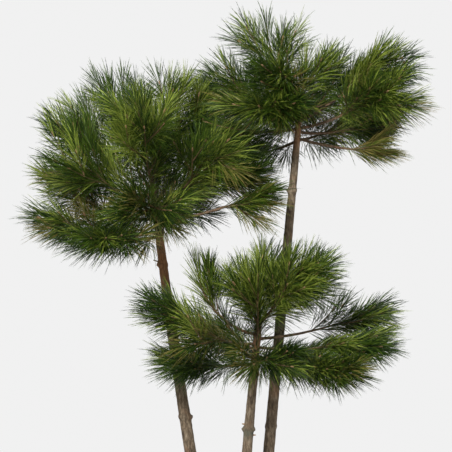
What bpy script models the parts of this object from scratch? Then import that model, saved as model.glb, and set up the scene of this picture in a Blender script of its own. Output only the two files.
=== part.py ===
"""A potted stone pine: three slender stems from one root, each with its own crown of long soft needles.

Metres, +Z up. The origin is the middle of the pot's flat underside. The front of the plant faces -Y.
A heading is a compass angle seen from above: 0 points along +X, 90 along +Y. A rise is an angle above level.
Each limb is an arc that leaves its stem, and ends in a shoot. The bare part of a main limb is a bough of
its own. The rest is the stem of a mass of foliage: side shoots branch from it by a seeded rule, and
needles from those.
"""

import math
import random
from dataclasses import dataclass

import bmesh
import bpy
import numpy as np
from mathutils import Quaternion, Vector

# ---------------------------------------------------------------- driving sizes

POT_HEIGHT = 0.42
POT_TOP_RADIUS = 0.235
POT_FOOT_RADIUS = 0.175
POT_WALL = 0.016
POT_FLOOR = 0.022
RIM_HEIGHT = 0.055
RIM_PROUD = 0.014
ROUND_STEPS = 28
EDGE_ROUNDING = 0.006
LIP_ROUNDING = 0.004
DRAIN_HOLES = 4
DRAIN_SIDES = 8
DRAIN_RADIUS = 0.009
DRAIN_CIRCLE = 0.10

SOIL_TOP = 0.385
SOIL_FLAT_RADIUS = 0.14
SOIL_EDGE_DROP = 0.010

CLEARANCE = 0.0003
MERGE_DISTANCE = 0.000001
TURNED_MERGE_DISTANCE = 0.00005
FACET_SLACK = 1.09
TRUNK_POINTS = 12
TRUNK_POINT_POWER = 1.25
TRUNK_TAPER_POWER = 3.0
TRUNK_BELOW_CUT = 0.02
LEVEL_CUTTER_SIZE = 0.2
FLARE_HEIGHT = 0.05

LIMB_STEPS = 6
BARE_WOOD_BEVEL = 2
INNER_WOOD_BEVEL = 0
WOOD_ROOT_RADIUS = 0.0062
WOOD_MASS_RADIUS = 0.0045
WOOD_TIP_RADIUS = 0.0030

SEED = 20
GOLDEN_ANGLE = math.radians(137.5)
FIRST_SHOOT = 0.15
LAST_SHOOT = 0.86
SHOOT_STAGGER = 0.5
SHOOT_LENGTH = 0.165
SHOOT_LENGTH_SPREAD = 0.15
SHOOT_LONGER_AT_ROOT = 0.15
SHOOT_SHORTER_AT_TIP = 0.35
SHOOT_OFF_ANGLE = 46.0
SHOOT_OFF_SPREAD = 9.0
SHOOT_TURN_SPREAD = 0.4
SHOOT_LIFT = 0.26
SHOOT_SAG = 0.02
SHOOT_RISE = 0.04
SHOOT_HEADROOM = 0.02
SHOOT_TRIES = 12
TRY_TURN = 0.6
TRY_SHORTER = 0.05
WHORL_SHARES = (0.18, 0.38, 0.58, 0.76, 0.92)
WHORL_TWIST = math.radians(22.0)
CORE_RADII = (0.0070, 0.0072, 0.0070, 0.0066, 0.0056)
CORE_SIDES = 4
CORE_ROOT_SINK = 0.006
END_SHOOT_GAP = 0.04
NEEDLE_LENGTH = 0.118
NEEDLE_RADIUS = 0.004
NEEDLE_FREE_SHARE = 0.2
NEEDLE_LENGTHS = (0.85, 1.1)
NEEDLE_ANGLES = (62.0, 52.0, 42.0, 31.0, 18.0)
NEEDLE_ANGLE_SPREAD = 8.0
NEEDLE_TURN_SPREAD = 0.2
NEEDLE_DROOP = 0.10
SPACE_GAP = 0.005
NEIGHBOUR_GAP = 0.002
SAMPLE_STEP = 0.012


@dataclass(frozen=True)
class Stem:
    """A trunk: where its foot and tip are, how far it bows sideways, and its radii."""

    name: str
    foot: tuple
    tip: tuple
    bow: tuple
    foot_radius: float
    tip_radius: float
    flare: float


@dataclass(frozen=True)
class Limb:
    """One limb of a crown. bare is the share of it that has no needles, and shoots counts its side shoots."""

    name: str
    height: float
    heading: float
    rise: float
    bend: float
    length: float
    bare: float
    shoots: int
    bough: bool = False


# Heights are above the soil. A limb with no height goes on from its stem's tip.
AT_TIP = None

LEFT = Stem("left", (-0.042, 0.03), (-0.302, 0.05, 1.674), (-0.013, 0.0), 0.0225, 0.0120, 0.012)
RIGHT = Stem("right", (0.058, 0.04), (0.237, 0.07, 1.990), (-0.003, 0.0), 0.0210, 0.0105, 0.011)
MIDDLE = Stem("middle", (-0.004, -0.065), (0.083, -0.09, 1.206), (-0.010, 0.0), 0.0200, 0.0120, 0.011)

LEFT_LIMBS = (
    Limb("top", AT_TIP, 10, 76, 8, 0.37, 0.15, 4),
    Limb("west_low", 1.505, 187, -6, 30, 0.42, 0.25, 4),
    Limb("west", 1.553, 170, -2, 56, 0.44, 0.28, 4),
    Limb("west_high", 1.598, 196, 14, 60, 0.45, 0.28, 4),
    Limb("north_west", 1.628, 156, 30, 40, 0.46, 0.28, 4),
    Limb("north_high", 1.650, 134, 42, 34, 0.48, 0.28, 4),
    Limb("front_high", 1.634, 262, 36, 42, 0.38, 0.25, 4),
    Limb("east_high", 1.610, 22, 50, 36, 0.43, 0.25, 4),
    Limb("back_high", 1.590, 88, 34, 36, 0.40, 0.25, 3),
    Limb("east_upper", 1.586, 330, 28, 34, 0.35, 0.25, 3),
    Limb("east", 1.560, 18, 38, -26, 0.43, 0.40, 4, True),
    Limb("east_low", 1.530, 348, 13, 6, 0.42, 0.58, 3, True),
    Limb("front", 1.530, 266, 8, 22, 0.32, 0.25, 4),
    Limb("front_west", 1.490, 226, -10, 22, 0.35, 0.25, 4),
    Limb("back_east", 1.530, 72, 14, 26, 0.38, 0.25, 4),
)

RIGHT_LIMBS = (
    Limb("top", AT_TIP, 20, 78, 8, 0.14, 0.15, 2),
    Limb("top_west", 1.972, 172, 52, 28, 0.31, 0.25, 3),
    Limb("west_high", 1.955, 160, 8, 30, 0.36, 0.28, 4),
    Limb("front_west", 1.932, 236, -6, 18, 0.29, 0.20, 4),
    Limb("west", 1.912, 150, 4, 30, 0.39, 0.28, 4),
    Limb("west_low", 1.880, 184, -8, 24, 0.34, 0.28, 4),
    Limb("back_low", 1.836, 140, -18, 18, 0.26, 0.30, 3),
    Limb("front_high", 1.966, 250, 14, 22, 0.27, 0.20, 4),
    Limb("top_east", 1.976, 36, 20, 40, 0.25, 0.20, 3),
    Limb("east_upper", 1.944, 12, 12, 36, 0.29, 0.25, 3),
    Limb("east_high", 1.908, 356, 26, 30, 0.39, 0.44, 3, True),
    Limb("east", 1.882, 332, 8, 30, 0.39, 0.40, 4, True),
    Limb("far_east", 1.868, 14, -4, 34, 0.34, 0.35, 4, True),
    Limb("east_low", 1.846, 350, -16, 14, 0.31, 0.60, 1, True),
    Limb("back", 1.900, 88, 10, 30, 0.33, 0.25, 4),
    Limb("back_east", 1.838, 48, 8, 26, 0.36, 0.25, 4),
)

MIDDLE_LIMBS = (
    Limb("top", AT_TIP, 40, 84, 4, 0.21, 0.12, 4),
    Limb("front_west", 1.132, 270, 38, 36, 0.28, 0.10, 3),
    Limb("east_high", 1.185, 4, 42, 24, 0.28, 0.20, 2),
    Limb("east", 1.126, 16, 4, 18, 0.47, 0.40, 4, True),
    Limb("east_low", 1.096, 350, -4, 20, 0.43, 0.40, 4, True),
    Limb("front_east", 1.066, 332, -15, 14, 0.37, 0.32, 4, True),
    Limb("front", 1.062, 277, -6, 20, 0.28, 0.12, 4),
    Limb("west_upper", 1.140, 196, 16, 62, 0.35, 0.44, 1, True),
    Limb("west", 1.108, 215, 2, 42, 0.40, 0.30, 4),
    Limb("west_low", 1.038, 203, -4, 10, 0.27, 0.32, 4, True),
    Limb("front_high", 1.172, 312, 40, 30, 0.28, 0.20, 4),
    Limb("back", 1.090, 128, 6, 26, 0.30, 0.25, 3),
    Limb("back_east", 1.050, 40, -4, 18, 0.30, 0.25, 3),
)

TREES = ((LEFT, LEFT_LIMBS), (RIGHT, RIGHT_LIMBS), (MIDDLE, MIDDLE_LIMBS))

# ---------------------------------------------------------------- materials

BARK_COLOUR = (0.16, 0.115, 0.075)
NEEDLE_COLOUR = (0.055, 0.11, 0.025)
POT_COLOUR = (0.50, 0.23, 0.13)
SOIL_COLOUR = (0.055, 0.035, 0.022)


def finish(name, colour, roughness):
    """A plain Principled finish."""
    made = bpy.data.materials.new(name)
    made.use_nodes = True
    shader = made.node_tree.nodes["Principled BSDF"]
    shader.inputs["Base Color"].default_value = (*colour, 1.0)
    shader.inputs["Roughness"].default_value = roughness
    shader.inputs["Metallic"].default_value = 0.0
    return made


# ---------------------------------------------------------------- where limbs run


def stem_axis(stem, share):
    """The point of a trunk's centre line at this share of its height."""
    foot = Vector((*stem.foot, SOIL_TOP))
    tip = Vector((stem.tip[0], stem.tip[1], SOIL_TOP + stem.tip[2]))
    bow = Vector((*stem.bow, 0.0))
    return foot.lerp(tip, share) + bow * (4.0 * share * (1.0 - share))


def stem_radius(stem, share):
    """A trunk's radius: nearly even for most of its height, with a flare at the root."""
    even = stem.foot_radius - (stem.foot_radius - stem.tip_radius) * share**TRUNK_TAPER_POWER
    return even + stem.flare * math.exp(-share * stem.tip[2] / FLARE_HEIGHT)


def limb_path(stem, limb):
    """The points of a limb's arc, from the trunk's centre line to its tip."""
    share = 1.0 if limb.height is AT_TIP else limb.height / stem.tip[2]
    point = stem_axis(stem, share)
    heading = math.radians(limb.heading)
    points = [point]
    for step in range(LIMB_STEPS):
        rise = math.radians(limb.rise + limb.bend * step / (LIMB_STEPS - 1))
        level = math.cos(rise)
        along = Vector((level * math.cos(heading), level * math.sin(heading), math.sin(rise)))
        point = point + along * (limb.length / LIMB_STEPS)
        points.append(point)
    return points


def point_along(points, share):
    """The point and the direction at this share of a path of even steps."""
    place = min(max(share, 0.0), 1.0) * (len(points) - 1)
    index = min(int(place), len(points) - 2)
    start, end = points[index], points[index + 1]
    return start.lerp(end, place - index), (end - start).normalized()


def path_between(points, first, last):
    """The stretch of a path between two shares."""
    steps = len(points) - 1
    margin = 1e-3
    inner = [points[i] for i in range(1, steps) if first + margin < i / steps < last - margin]
    return [point_along(points, first)[0], *inner, point_along(points, last)[0]]


def side_direction(along, angle, azimuth):
    """A direction that leaves this one at an angle, turned about it by an azimuth."""
    across = along.orthogonal().normalized()
    across = Quaternion(along, azimuth) @ across
    return along * math.cos(angle) + across * math.sin(angle)


# ---------------------------------------------------------------- the space of each mass


class Space:
    """Tells whether a piece stays nearer to its own limb than to any other, and clear of the trunks."""

    def __init__(self, trees):
        starts, ends, self.first, self.names = [], [], [], []
        for stem, limbs in trees:
            for limb in limbs:
                path = limb_path(stem, limb)
                self.first.append(len(starts))
                self.names.append((stem.name, limb.name))
                starts += path[:-1]
                ends += path[1:]
        self.starts, self.ends = np.array(starts), np.array(ends)
        self.stems = [stem for stem, _ in trees]

    def distances(self, points, starts, ends):
        """From each point to each straight piece."""
        run = ends - starts
        share = np.einsum("pmk,mk->pm", points[:, None] - starts, run) / (run * run).sum(1)
        nearest = starts + np.clip(share, 0.0, 1.0)[..., None] * run
        return np.linalg.norm(points[:, None] - nearest, axis=2)

    def clear_of_trunks(self, points, radii):
        for stem in self.stems:
            axis = np.array([stem_axis(stem, i / TRUNK_POINTS) for i in range(TRUNK_POINTS + 1)])
            gap = self.distances(points, axis[:-1], axis[1:]).min(1)
            if (gap < stem.foot_radius + radii + SPACE_GAP).any():
                return False
        return True

    def holds(self, owner, points, radii):
        """True if these points, each with its radius, keep to the owner's space."""
        points, radii = np.array(points), np.array(radii)
        each = self.distances(points, self.starts, self.ends)
        each = np.minimum.reduceat(each, self.first, axis=1)
        index = self.names.index(owner)
        own = each[:, index].copy()
        each[:, index] = np.inf
        return bool((each.min(1) - own > SPACE_GAP + 2.0 * radii).all())


def samples(points, radii):
    """Points and radii close together along a path."""
    run = sum((b - a).length for a, b in zip(points, points[1:]))
    count = max(3, math.ceil(run / SAMPLE_STEP))
    shares = [i / count for i in range(count + 1)]
    places = [point_along(points, share)[0] for share in shares]
    widths = np.interp(shares, np.linspace(0.0, 1.0, len(radii)), radii)
    return np.array(places), np.array(widths)


class Crowd:
    """What one mass holds so far, so that a new twig or needle keeps off the rest."""

    def __init__(self):
        self.places, self.widths = np.empty((0, 3)), np.empty(0)

    def add(self, places, widths):
        self.places = np.vstack((self.places, places))
        self.widths = np.concatenate((self.widths, widths))

    def leaves_room(self, places, widths):
        apart = np.linalg.norm(places[:, None] - self.places, axis=2)
        return bool((apart > widths[:, None] + self.widths + NEIGHBOUR_GAP).all())


# ---------------------------------------------------------------- the seeded rule


def side_turn(whorl, side):
    """How far round its shoot one side of a whorl stands."""
    return math.tau * side / CORE_SIDES + whorl * WHORL_TWIST


def shoot_path(start, along, length):
    """The root, whorls and end of a shoot. It turns upward a little at each whorl."""
    points = [start]
    before = 0.0
    for share in (*WHORL_SHARES, 1.0):
        along = (along + Vector((0.0, 0.0, SHOOT_LIFT * (share - before)))).normalized()
        points.append(points[-1] + along * (length * (share - before)))
        before = share
    return points


def end_shoot_share(limb):
    """The share of a limb at which its last shoot starts."""
    return max(1.0 - SHOOT_LENGTH / limb.length, limb.bare + END_SHOOT_GAP)


def fits(space, crowd, owner, places, widths):
    inside = space.holds(owner, places, widths) and space.clear_of_trunks(places, widths)
    return inside and crowd.leaves_room(places, widths)


def shoots_of(space, crowd, stem, limb, path, chance):
    """The shoots of a mass: the end of its stem, and side shoots that keep to its space."""
    owner = (stem.name, limb.name)
    tip_start = end_shoot_share(limb)
    shares = [tip_start + (1.0 - tip_start) * share for share in (0.0, *WHORL_SHARES, 1.0)]
    found = [[point_along(path, share)[0] for share in shares]]
    first = limb.bare + FIRST_SHOOT * (1.0 - limb.bare)
    top = max(point.z for point in path) - SHOOT_HEADROOM
    for number in range(limb.shoots):
        step = (number + chance.uniform(0.0, SHOOT_STAGGER)) / limb.shoots
        share = first + (LAST_SHOOT - first) * step
        start, along = point_along(path, share)
        turn = number * GOLDEN_ANGLE + chance.uniform(-SHOOT_TURN_SPREAD, SHOOT_TURN_SPREAD)
        angle = math.radians(SHOOT_OFF_ANGLE + chance.uniform(-SHOOT_OFF_SPREAD, SHOOT_OFF_SPREAD))
        length = SHOOT_LENGTH * (1.0 + chance.uniform(-SHOOT_LENGTH_SPREAD, SHOOT_LENGTH_SPREAD))
        length *= 1.0 + SHOOT_LONGER_AT_ROOT - SHOOT_SHORTER_AT_TIP * share
        for attempt in range(SHOOT_TRIES):
            away = side_direction(along, angle, turn + attempt * TRY_TURN)
            points = shoot_path(start, away, length * (1.0 - TRY_SHORTER * attempt))
            places, widths = samples(points[1:], (*CORE_RADII, 0.0))
            end = points[-1].z
            level_enough = start.z - SHOOT_SAG < end < max(top, start.z + SHOOT_RISE)
            if level_enough and fits(space, crowd, owner, places, widths):
                crowd.add(places, widths)
                found.append(points)
                break
    return found


def needles_of(space, crowd, owner, shoot, chance):
    """The tips of a shoot's needles, by whorl and side. They keep to the mass's space and off its twigs."""
    tips, placed = {}, []
    for whorl, (root, bend) in enumerate(zip(shoot[1:], NEEDLE_ANGLES)):
        along = (shoot[whorl + 2] - shoot[whorl]).normalized()
        for side in range(whorl % 2, CORE_SIDES, 2):
            angle = math.radians(bend + chance.uniform(-NEEDLE_ANGLE_SPREAD, NEEDLE_ANGLE_SPREAD))
            turn = side_turn(whorl, side) + chance.uniform(-NEEDLE_TURN_SPREAD, NEEDLE_TURN_SPREAD)
            away = side_direction(along, angle, turn) - Vector((0.0, 0.0, NEEDLE_DROOP))
            tip = root + away.normalized() * (NEEDLE_LENGTH * chance.uniform(*NEEDLE_LENGTHS))
            free = root.lerp(tip, NEEDLE_FREE_SHARE)
            places, widths = samples([free, tip], [NEEDLE_RADIUS, 0.0])
            if fits(space, crowd, owner, places, widths):
                tips[whorl, side] = tip
                placed.append((places, widths))
    for places, widths in placed:
        crowd.add(places, widths)
    return tips


# ---------------------------------------------------------------- solids


def collection(name):
    made = bpy.data.collections.new(name)
    bpy.context.scene.collection.children.link(made)
    return made


def tube(name, points, radii, resolution, group):
    """A tapering tube through the points, as a mesh whose caps are welded on."""
    data = bpy.data.curves.new(name, "CURVE")
    data.dimensions = "3D"
    data.bevel_depth = 1.0
    data.bevel_resolution = resolution
    data.use_fill_caps = True
    spline = data.splines.new("POLY")
    spline.points.add(len(points) - 1)
    for target, point, radius in zip(spline.points, points, radii):
        target.co = (*point, 1.0)
        target.radius = radius
    guide = bpy.data.objects.new(name + "_guide", data)
    group.objects.link(guide)
    bpy.context.view_layer.update()
    graph = bpy.context.evaluated_depsgraph_get()
    mesh = bpy.data.meshes.new_from_object(guide.evaluated_get(graph))
    bpy.data.objects.remove(guide)
    shape = bmesh.new()
    shape.from_mesh(mesh)
    bmesh.ops.remove_doubles(shape, verts=shape.verts, dist=MERGE_DISTANCE)
    bmesh.ops.recalc_face_normals(shape, faces=shape.faces)
    shape.to_mesh(mesh)
    shape.free()
    made = bpy.data.objects.new(name, mesh)
    group.objects.link(made)
    return made


def spray(name, shoot, tips, group):
    """A shoot as one solid: a sphere drawn out into a slim core, with needles out of its whorls."""
    shape = bmesh.new()
    levels = len(CORE_RADII) + 1
    bmesh.ops.create_uvsphere(shape, u_segments=CORE_SIDES, v_segments=levels, radius=1.0)
    sunk_root = shoot[0] - (shoot[1] - shoot[0]).normalized() * CORE_ROOT_SINK
    ends = {0: sunk_root, levels: shoot[-1]}
    for vert in shape.verts:
        level = round(math.acos(max(-1.0, min(1.0, -vert.co.z))) / math.pi * levels)
        around = math.atan2(vert.co.y, vert.co.x) - math.pi / 2.0
        side = round(around / math.tau * CORE_SIDES) % CORE_SIDES
        if level in ends:
            vert.co = ends[level]
        elif (level - 1, side) in tips:
            vert.co = tips[level - 1, side]
        else:
            along = (shoot[level + 1] - shoot[level - 1]).normalized()
            across = side_direction(along, math.pi / 2.0, side_turn(level - 1, side))
            vert.co = shoot[level] + across * CORE_RADII[level - 1]
    bmesh.ops.triangulate(shape, faces=shape.faces, quad_method="SHORT_EDGE")
    mesh = bpy.data.meshes.new(name)
    shape.to_mesh(mesh)
    shape.free()
    group.objects.link(bpy.data.objects.new(name, mesh))


def apply_modifiers(obj, flat_faces=True):
    """The object's evaluated mesh becomes its own, with no modifier left. Bent faces are cut into triangles."""
    bpy.context.view_layer.update()
    graph = bpy.context.evaluated_depsgraph_get()
    mesh = bpy.data.meshes.new_from_object(obj.evaluated_get(graph))
    shape = bmesh.new()
    shape.from_mesh(mesh)
    bmesh.ops.remove_doubles(shape, verts=shape.verts, dist=MERGE_DISTANCE)
    bmesh.ops.dissolve_degenerate(shape, edges=shape.edges, dist=MERGE_DISTANCE)
    if not flat_faces:
        bmesh.ops.triangulate(shape, faces=shape.faces)
    shape.to_mesh(mesh)
    shape.free()
    obj.modifiers.clear()
    obj.data = mesh


def boolean(obj, operation, other, solver="EXACT"):
    cut = obj.modifiers.new(operation.lower(), "BOOLEAN")
    cut.operation = operation
    cut.solver = solver
    if isinstance(other, bpy.types.Collection):
        cut.operand_type = "COLLECTION"
        cut.collection = other
    else:
        cut.object = other


def dress(obj, material):
    obj.data.materials.clear()
    obj.data.materials.append(material)
    obj.data.polygons.foreach_set("material_index", [0] * len(obj.data.polygons))


def turned(name, profile, group):
    """A solid of revolution from (radius, height) points that run down its outer side."""
    mesh = bpy.data.meshes.new(name)
    edges = [(i, i + 1) for i in range(len(profile) - 1)]
    mesh.from_pydata([(radius, 0.0, height) for radius, height in profile], edges, [])
    made = bpy.data.objects.new(name, mesh)
    group.objects.link(made)
    screw = made.modifiers.new("turn", "SCREW")
    screw.steps = screw.render_steps = ROUND_STEPS
    screw.use_merge_vertices = True
    screw.merge_threshold = TURNED_MERGE_DISTANCE
    screw.use_normal_calculate = True
    apply_modifiers(made)
    return made


def inner_radius(height):
    """The pot's inner wall, which tapers with the outer one."""
    share = height / POT_HEIGHT
    return POT_FOOT_RADIUS + (POT_TOP_RADIUS - POT_FOOT_RADIUS) * share - POT_WALL


def build_pot(group, cutters, material):
    rim_low = POT_HEIGHT - RIM_HEIGHT
    rim_radius = POT_TOP_RADIUS + RIM_PROUD
    under_rim = inner_radius(rim_low) + POT_WALL
    profile = [
        (0.0, POT_FLOOR),
        (inner_radius(POT_FLOOR), POT_FLOOR),
        (inner_radius(POT_HEIGHT), POT_HEIGHT - LIP_ROUNDING),
        (inner_radius(POT_HEIGHT) + LIP_ROUNDING, POT_HEIGHT),
        (rim_radius - EDGE_ROUNDING, POT_HEIGHT),
        (rim_radius, POT_HEIGHT - EDGE_ROUNDING),
        (rim_radius - LIP_ROUNDING, rim_low),
        (under_rim, rim_low - LIP_ROUNDING / 2.0),
        (POT_FOOT_RADIUS, EDGE_ROUNDING),
        (POT_FOOT_RADIUS - EDGE_ROUNDING, 0.0),
        (0.0, 0.0),
    ]
    pot = turned("pot", profile, group)
    for number in range(DRAIN_HOLES):
        angle = math.tau * (number + 0.5) / DRAIN_HOLES
        place = (DRAIN_CIRCLE * math.cos(angle), DRAIN_CIRCLE * math.sin(angle), POT_FLOOR / 2.0)
        bpy.ops.mesh.primitive_cylinder_add(
            vertices=DRAIN_SIDES, radius=DRAIN_RADIUS, depth=POT_FLOOR * 3.0, location=place
        )
        drill = bpy.context.active_object
        drill.name = f"drain_cutter_{number}"
        keep_as_cutter(drill, cutters)
        boolean(pot, "DIFFERENCE", drill)
    apply_modifiers(pot)
    dress(pot, material)


def build_soil(group, material):
    edge = SOIL_TOP - SOIL_EDGE_DROP
    side = CLEARANCE * 2.0
    profile = [
        (0.0, SOIL_TOP),
        (SOIL_FLAT_RADIUS, SOIL_TOP),
        (inner_radius(edge) - side, edge),
        (inner_radius(POT_FLOOR) - side, POT_FLOOR + CLEARANCE),
        (0.0, POT_FLOOR + CLEARANCE),
    ]
    dress(turned("soil", profile, group), material)


def keep_as_cutter(obj, cutters):
    for group in list(obj.users_collection):
        group.objects.unlink(obj)
    cutters.objects.link(obj)
    obj.hide_render = True
    obj.display_type = "WIRE"


def build_trunk(stem, group, cutters, material):
    """The trunk, cut flat at the soil, and a slightly larger copy that cuts limbs clear of it."""
    shares = [(i / (TRUNK_POINTS - 1)) ** TRUNK_POINT_POWER for i in range(TRUNK_POINTS)]
    points = [stem_axis(stem, share) for share in shares]
    radii = [stem_radius(stem, share) for share in shares]
    below = points[0] + (points[0] - points[1]).normalized() * TRUNK_BELOW_CUT
    trunk = tube("trunk_" + stem.name, [below, *points], [radii[0], *radii], BARE_WOOD_BEVEL, group)
    centre = (*stem.foot, SOIL_TOP + CLEARANCE - LEVEL_CUTTER_SIZE / 2.0)
    bpy.ops.mesh.primitive_cube_add(size=LEVEL_CUTTER_SIZE, location=centre)
    level = bpy.context.active_object
    level.name = "level_cutter_" + stem.name
    keep_as_cutter(level, cutters)
    boolean(trunk, "DIFFERENCE", level)
    apply_modifiers(trunk)
    dress(trunk, material)
    above = points[-1] + (points[-1] - points[-2]).normalized() * CLEARANCE
    wider = [radius + CLEARANCE * FACET_SLACK for radius in (radii[0], *radii, radii[-1])]
    cutter = tube("clear_of_trunk_" + stem.name, [below, *points, above], wider, BARE_WOOD_BEVEL, group)
    keep_as_cutter(cutter, cutters)
    return cutter


def wood_radius(limb, share):
    """A limb's wood: it tapers to where the needles start, and more slowly from there."""
    if share < limb.bare:
        return WOOD_ROOT_RADIUS + (WOOD_MASS_RADIUS - WOOD_ROOT_RADIUS) * share / limb.bare
    rest = (share - limb.bare) / (1.0 - limb.bare)
    return WOOD_MASS_RADIUS + (WOOD_TIP_RADIUS - WOOD_MASS_RADIUS) * rest


def build_limb(space, stem, limb, number, group, cutters, trunk_cutter, bark, green):
    """A limb's bough, where it has one, and its mass of foliage joined into one solid."""
    path = limb_path(stem, limb)
    chance = random.Random(SEED + number)
    first = 0.0
    if limb.bough:
        bough_path = path_between(path, 0.0, limb.bare)
        radii = [wood_radius(limb, share) for share in np.linspace(0.0, limb.bare, len(bough_path))]
        bough = tube(f"bough_{stem.name}_{limb.name}", bough_path, radii, BARE_WOOD_BEVEL, group)
        boolean(bough, "DIFFERENCE", trunk_cutter)
        apply_modifiers(bough)
        dress(bough, bark)
        first = limb.bare + CLEARANCE / limb.length
    start = end_shoot_share(limb)
    last = start + (1.0 - start) * WHORL_SHARES[0]
    stem_path = path_between(path, first, last)
    radii = [wood_radius(limb, share) for share in np.linspace(first, last, len(stem_path))]
    mass = tube(f"foliage_{stem.name}_{limb.name}", stem_path, radii, INNER_WOOD_BEVEL, group)
    pieces = collection("pieces")
    crowd = Crowd()
    crowd.add(*samples(path, (WOOD_ROOT_RADIUS, WOOD_TIP_RADIUS)))
    for index, shoot in enumerate(shoots_of(space, crowd, stem, limb, path, chance)):
        tips = needles_of(space, crowd, (stem.name, limb.name), shoot, chance)
        spray(f"spray_{index}", shoot, tips, pieces)
    boolean(mass, "UNION", pieces, "MANIFOLD")
    if not limb.bough:
        boolean(mass, "DIFFERENCE", trunk_cutter, "MANIFOLD")
    apply_modifiers(mass, flat_faces=False)
    for piece in list(pieces.objects):
        bpy.data.objects.remove(piece)
    bpy.data.collections.remove(pieces)
    dress(mass, green)


def build():
    for obj in list(bpy.data.objects):
        bpy.data.objects.remove(obj)
    group = collection("potted_stone_pine")
    cutters = collection("cutters")
    bark = finish("bark", BARK_COLOUR, 0.9)
    green = finish("needles", NEEDLE_COLOUR, 0.6)
    build_pot(group, cutters, finish("pot", POT_COLOUR, 0.85))
    build_soil(group, finish("soil", SOIL_COLOUR, 0.95))
    space = Space(TREES)
    number = 0
    for stem, limbs in TREES:
        trunk_cutter = build_trunk(stem, group, cutters, bark)
        for limb in limbs:
            number += 1
            build_limb(space, stem, limb, number, group, cutters, trunk_cutter, bark, green)


build()
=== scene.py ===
"""The looks of a potted stone pine.

It has three bark-covered stems, plumes of long soft needles, a clay pot and bark mulch.

Metres, +Z up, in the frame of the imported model. The limbs and shoots follow the source's rule, written again
here, and go on from it to finer twigs. Needles, twigs and buds are grown along them by Geometry Nodes.
"""

import math
import random
from dataclasses import dataclass

import bmesh
import bpy
import numpy as np
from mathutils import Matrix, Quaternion, Vector, noise


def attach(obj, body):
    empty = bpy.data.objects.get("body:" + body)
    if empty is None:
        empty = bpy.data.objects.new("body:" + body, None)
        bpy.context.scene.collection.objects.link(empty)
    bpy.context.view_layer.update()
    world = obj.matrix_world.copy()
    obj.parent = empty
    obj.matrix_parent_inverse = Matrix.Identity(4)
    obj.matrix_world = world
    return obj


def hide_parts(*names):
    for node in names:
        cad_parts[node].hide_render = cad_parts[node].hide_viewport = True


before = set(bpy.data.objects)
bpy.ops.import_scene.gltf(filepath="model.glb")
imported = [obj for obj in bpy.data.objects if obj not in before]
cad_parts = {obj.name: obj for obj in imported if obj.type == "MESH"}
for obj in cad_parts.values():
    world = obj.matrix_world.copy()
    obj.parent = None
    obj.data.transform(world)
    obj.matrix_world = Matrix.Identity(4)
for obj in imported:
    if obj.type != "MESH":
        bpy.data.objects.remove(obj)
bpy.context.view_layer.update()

# ---------------------------------------------------------------- the source's sizes

POT_HEIGHT = 0.42
POT_TOP_RADIUS = 0.235
POT_FOOT_RADIUS = 0.175
POT_WALL = 0.016
POT_FLOOR = 0.022
RIM_HEIGHT = 0.055
RIM_PROUD = 0.014
SOIL_TOP = 0.385
SOIL_FLAT_RADIUS = 0.14
SOIL_EDGE_DROP = 0.010
EDGE_ROUNDING = 0.006
LIP_ROUNDING = 0.004
DRAIN_HOLES = 4
DRAIN_RADIUS = 0.009
DRAIN_CIRCLE = 0.10

TRUNK_POINTS = 12
TRUNK_TAPER_POWER = 3.0
FLARE_HEIGHT = 0.05
LIMB_STEPS = 6
WOOD_ROOT_RADIUS = 0.0062
WOOD_MASS_RADIUS = 0.0045
WOOD_TIP_RADIUS = 0.0030

SEED = 20
GOLDEN_ANGLE = math.radians(137.5)
FIRST_SHOOT = 0.15
LAST_SHOOT = 0.86
SHOOT_STAGGER = 0.5
SHOOT_LENGTH = 0.165
SHOOT_LENGTH_SPREAD = 0.15
SHOOT_LONGER_AT_ROOT = 0.15
SHOOT_SHORTER_AT_TIP = 0.35
SHOOT_OFF_ANGLE = 46.0
SHOOT_OFF_SPREAD = 9.0
SHOOT_TURN_SPREAD = 0.4
SHOOT_LIFT = 0.26
SHOOT_SAG = 0.02
SHOOT_RISE = 0.04
SHOOT_HEADROOM = 0.02
SHOOT_TRIES = 12
TRY_TURN = 0.6
TRY_SHORTER = 0.05
WHORL_SHARES = (0.18, 0.38, 0.58, 0.76, 0.92)
CORE_RADII = (0.0070, 0.0072, 0.0070, 0.0066, 0.0056)
SPACE_GAP = 0.005
NEIGHBOUR_GAP = 0.002
SAMPLE_STEP = 0.012


@dataclass(frozen=True)
class Stem:
    """A trunk: where its foot and tip are, how far it bows sideways, and its radii."""

    name: str
    foot: tuple
    tip: tuple
    bow: tuple
    foot_radius: float
    tip_radius: float
    flare: float


@dataclass(frozen=True)
class Limb:
    """One limb of a crown. bare is the share of it that has no needles, and shoots counts its side shoots."""

    name: str
    height: float
    heading: float
    rise: float
    bend: float
    length: float
    bare: float
    shoots: int
    bough: bool = False


# Heights are above the soil. A limb with no height goes on from its stem's tip.
AT_TIP = None

LEFT = Stem("left", (-0.042, 0.03), (-0.302, 0.05, 1.674), (-0.013, 0.0), 0.0225, 0.0120, 0.012)
RIGHT = Stem("right", (0.058, 0.04), (0.237, 0.07, 1.990), (-0.003, 0.0), 0.0210, 0.0105, 0.011)
MIDDLE = Stem("middle", (-0.004, -0.065), (0.083, -0.09, 1.206), (-0.010, 0.0), 0.0200, 0.0120, 0.011)

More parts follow.
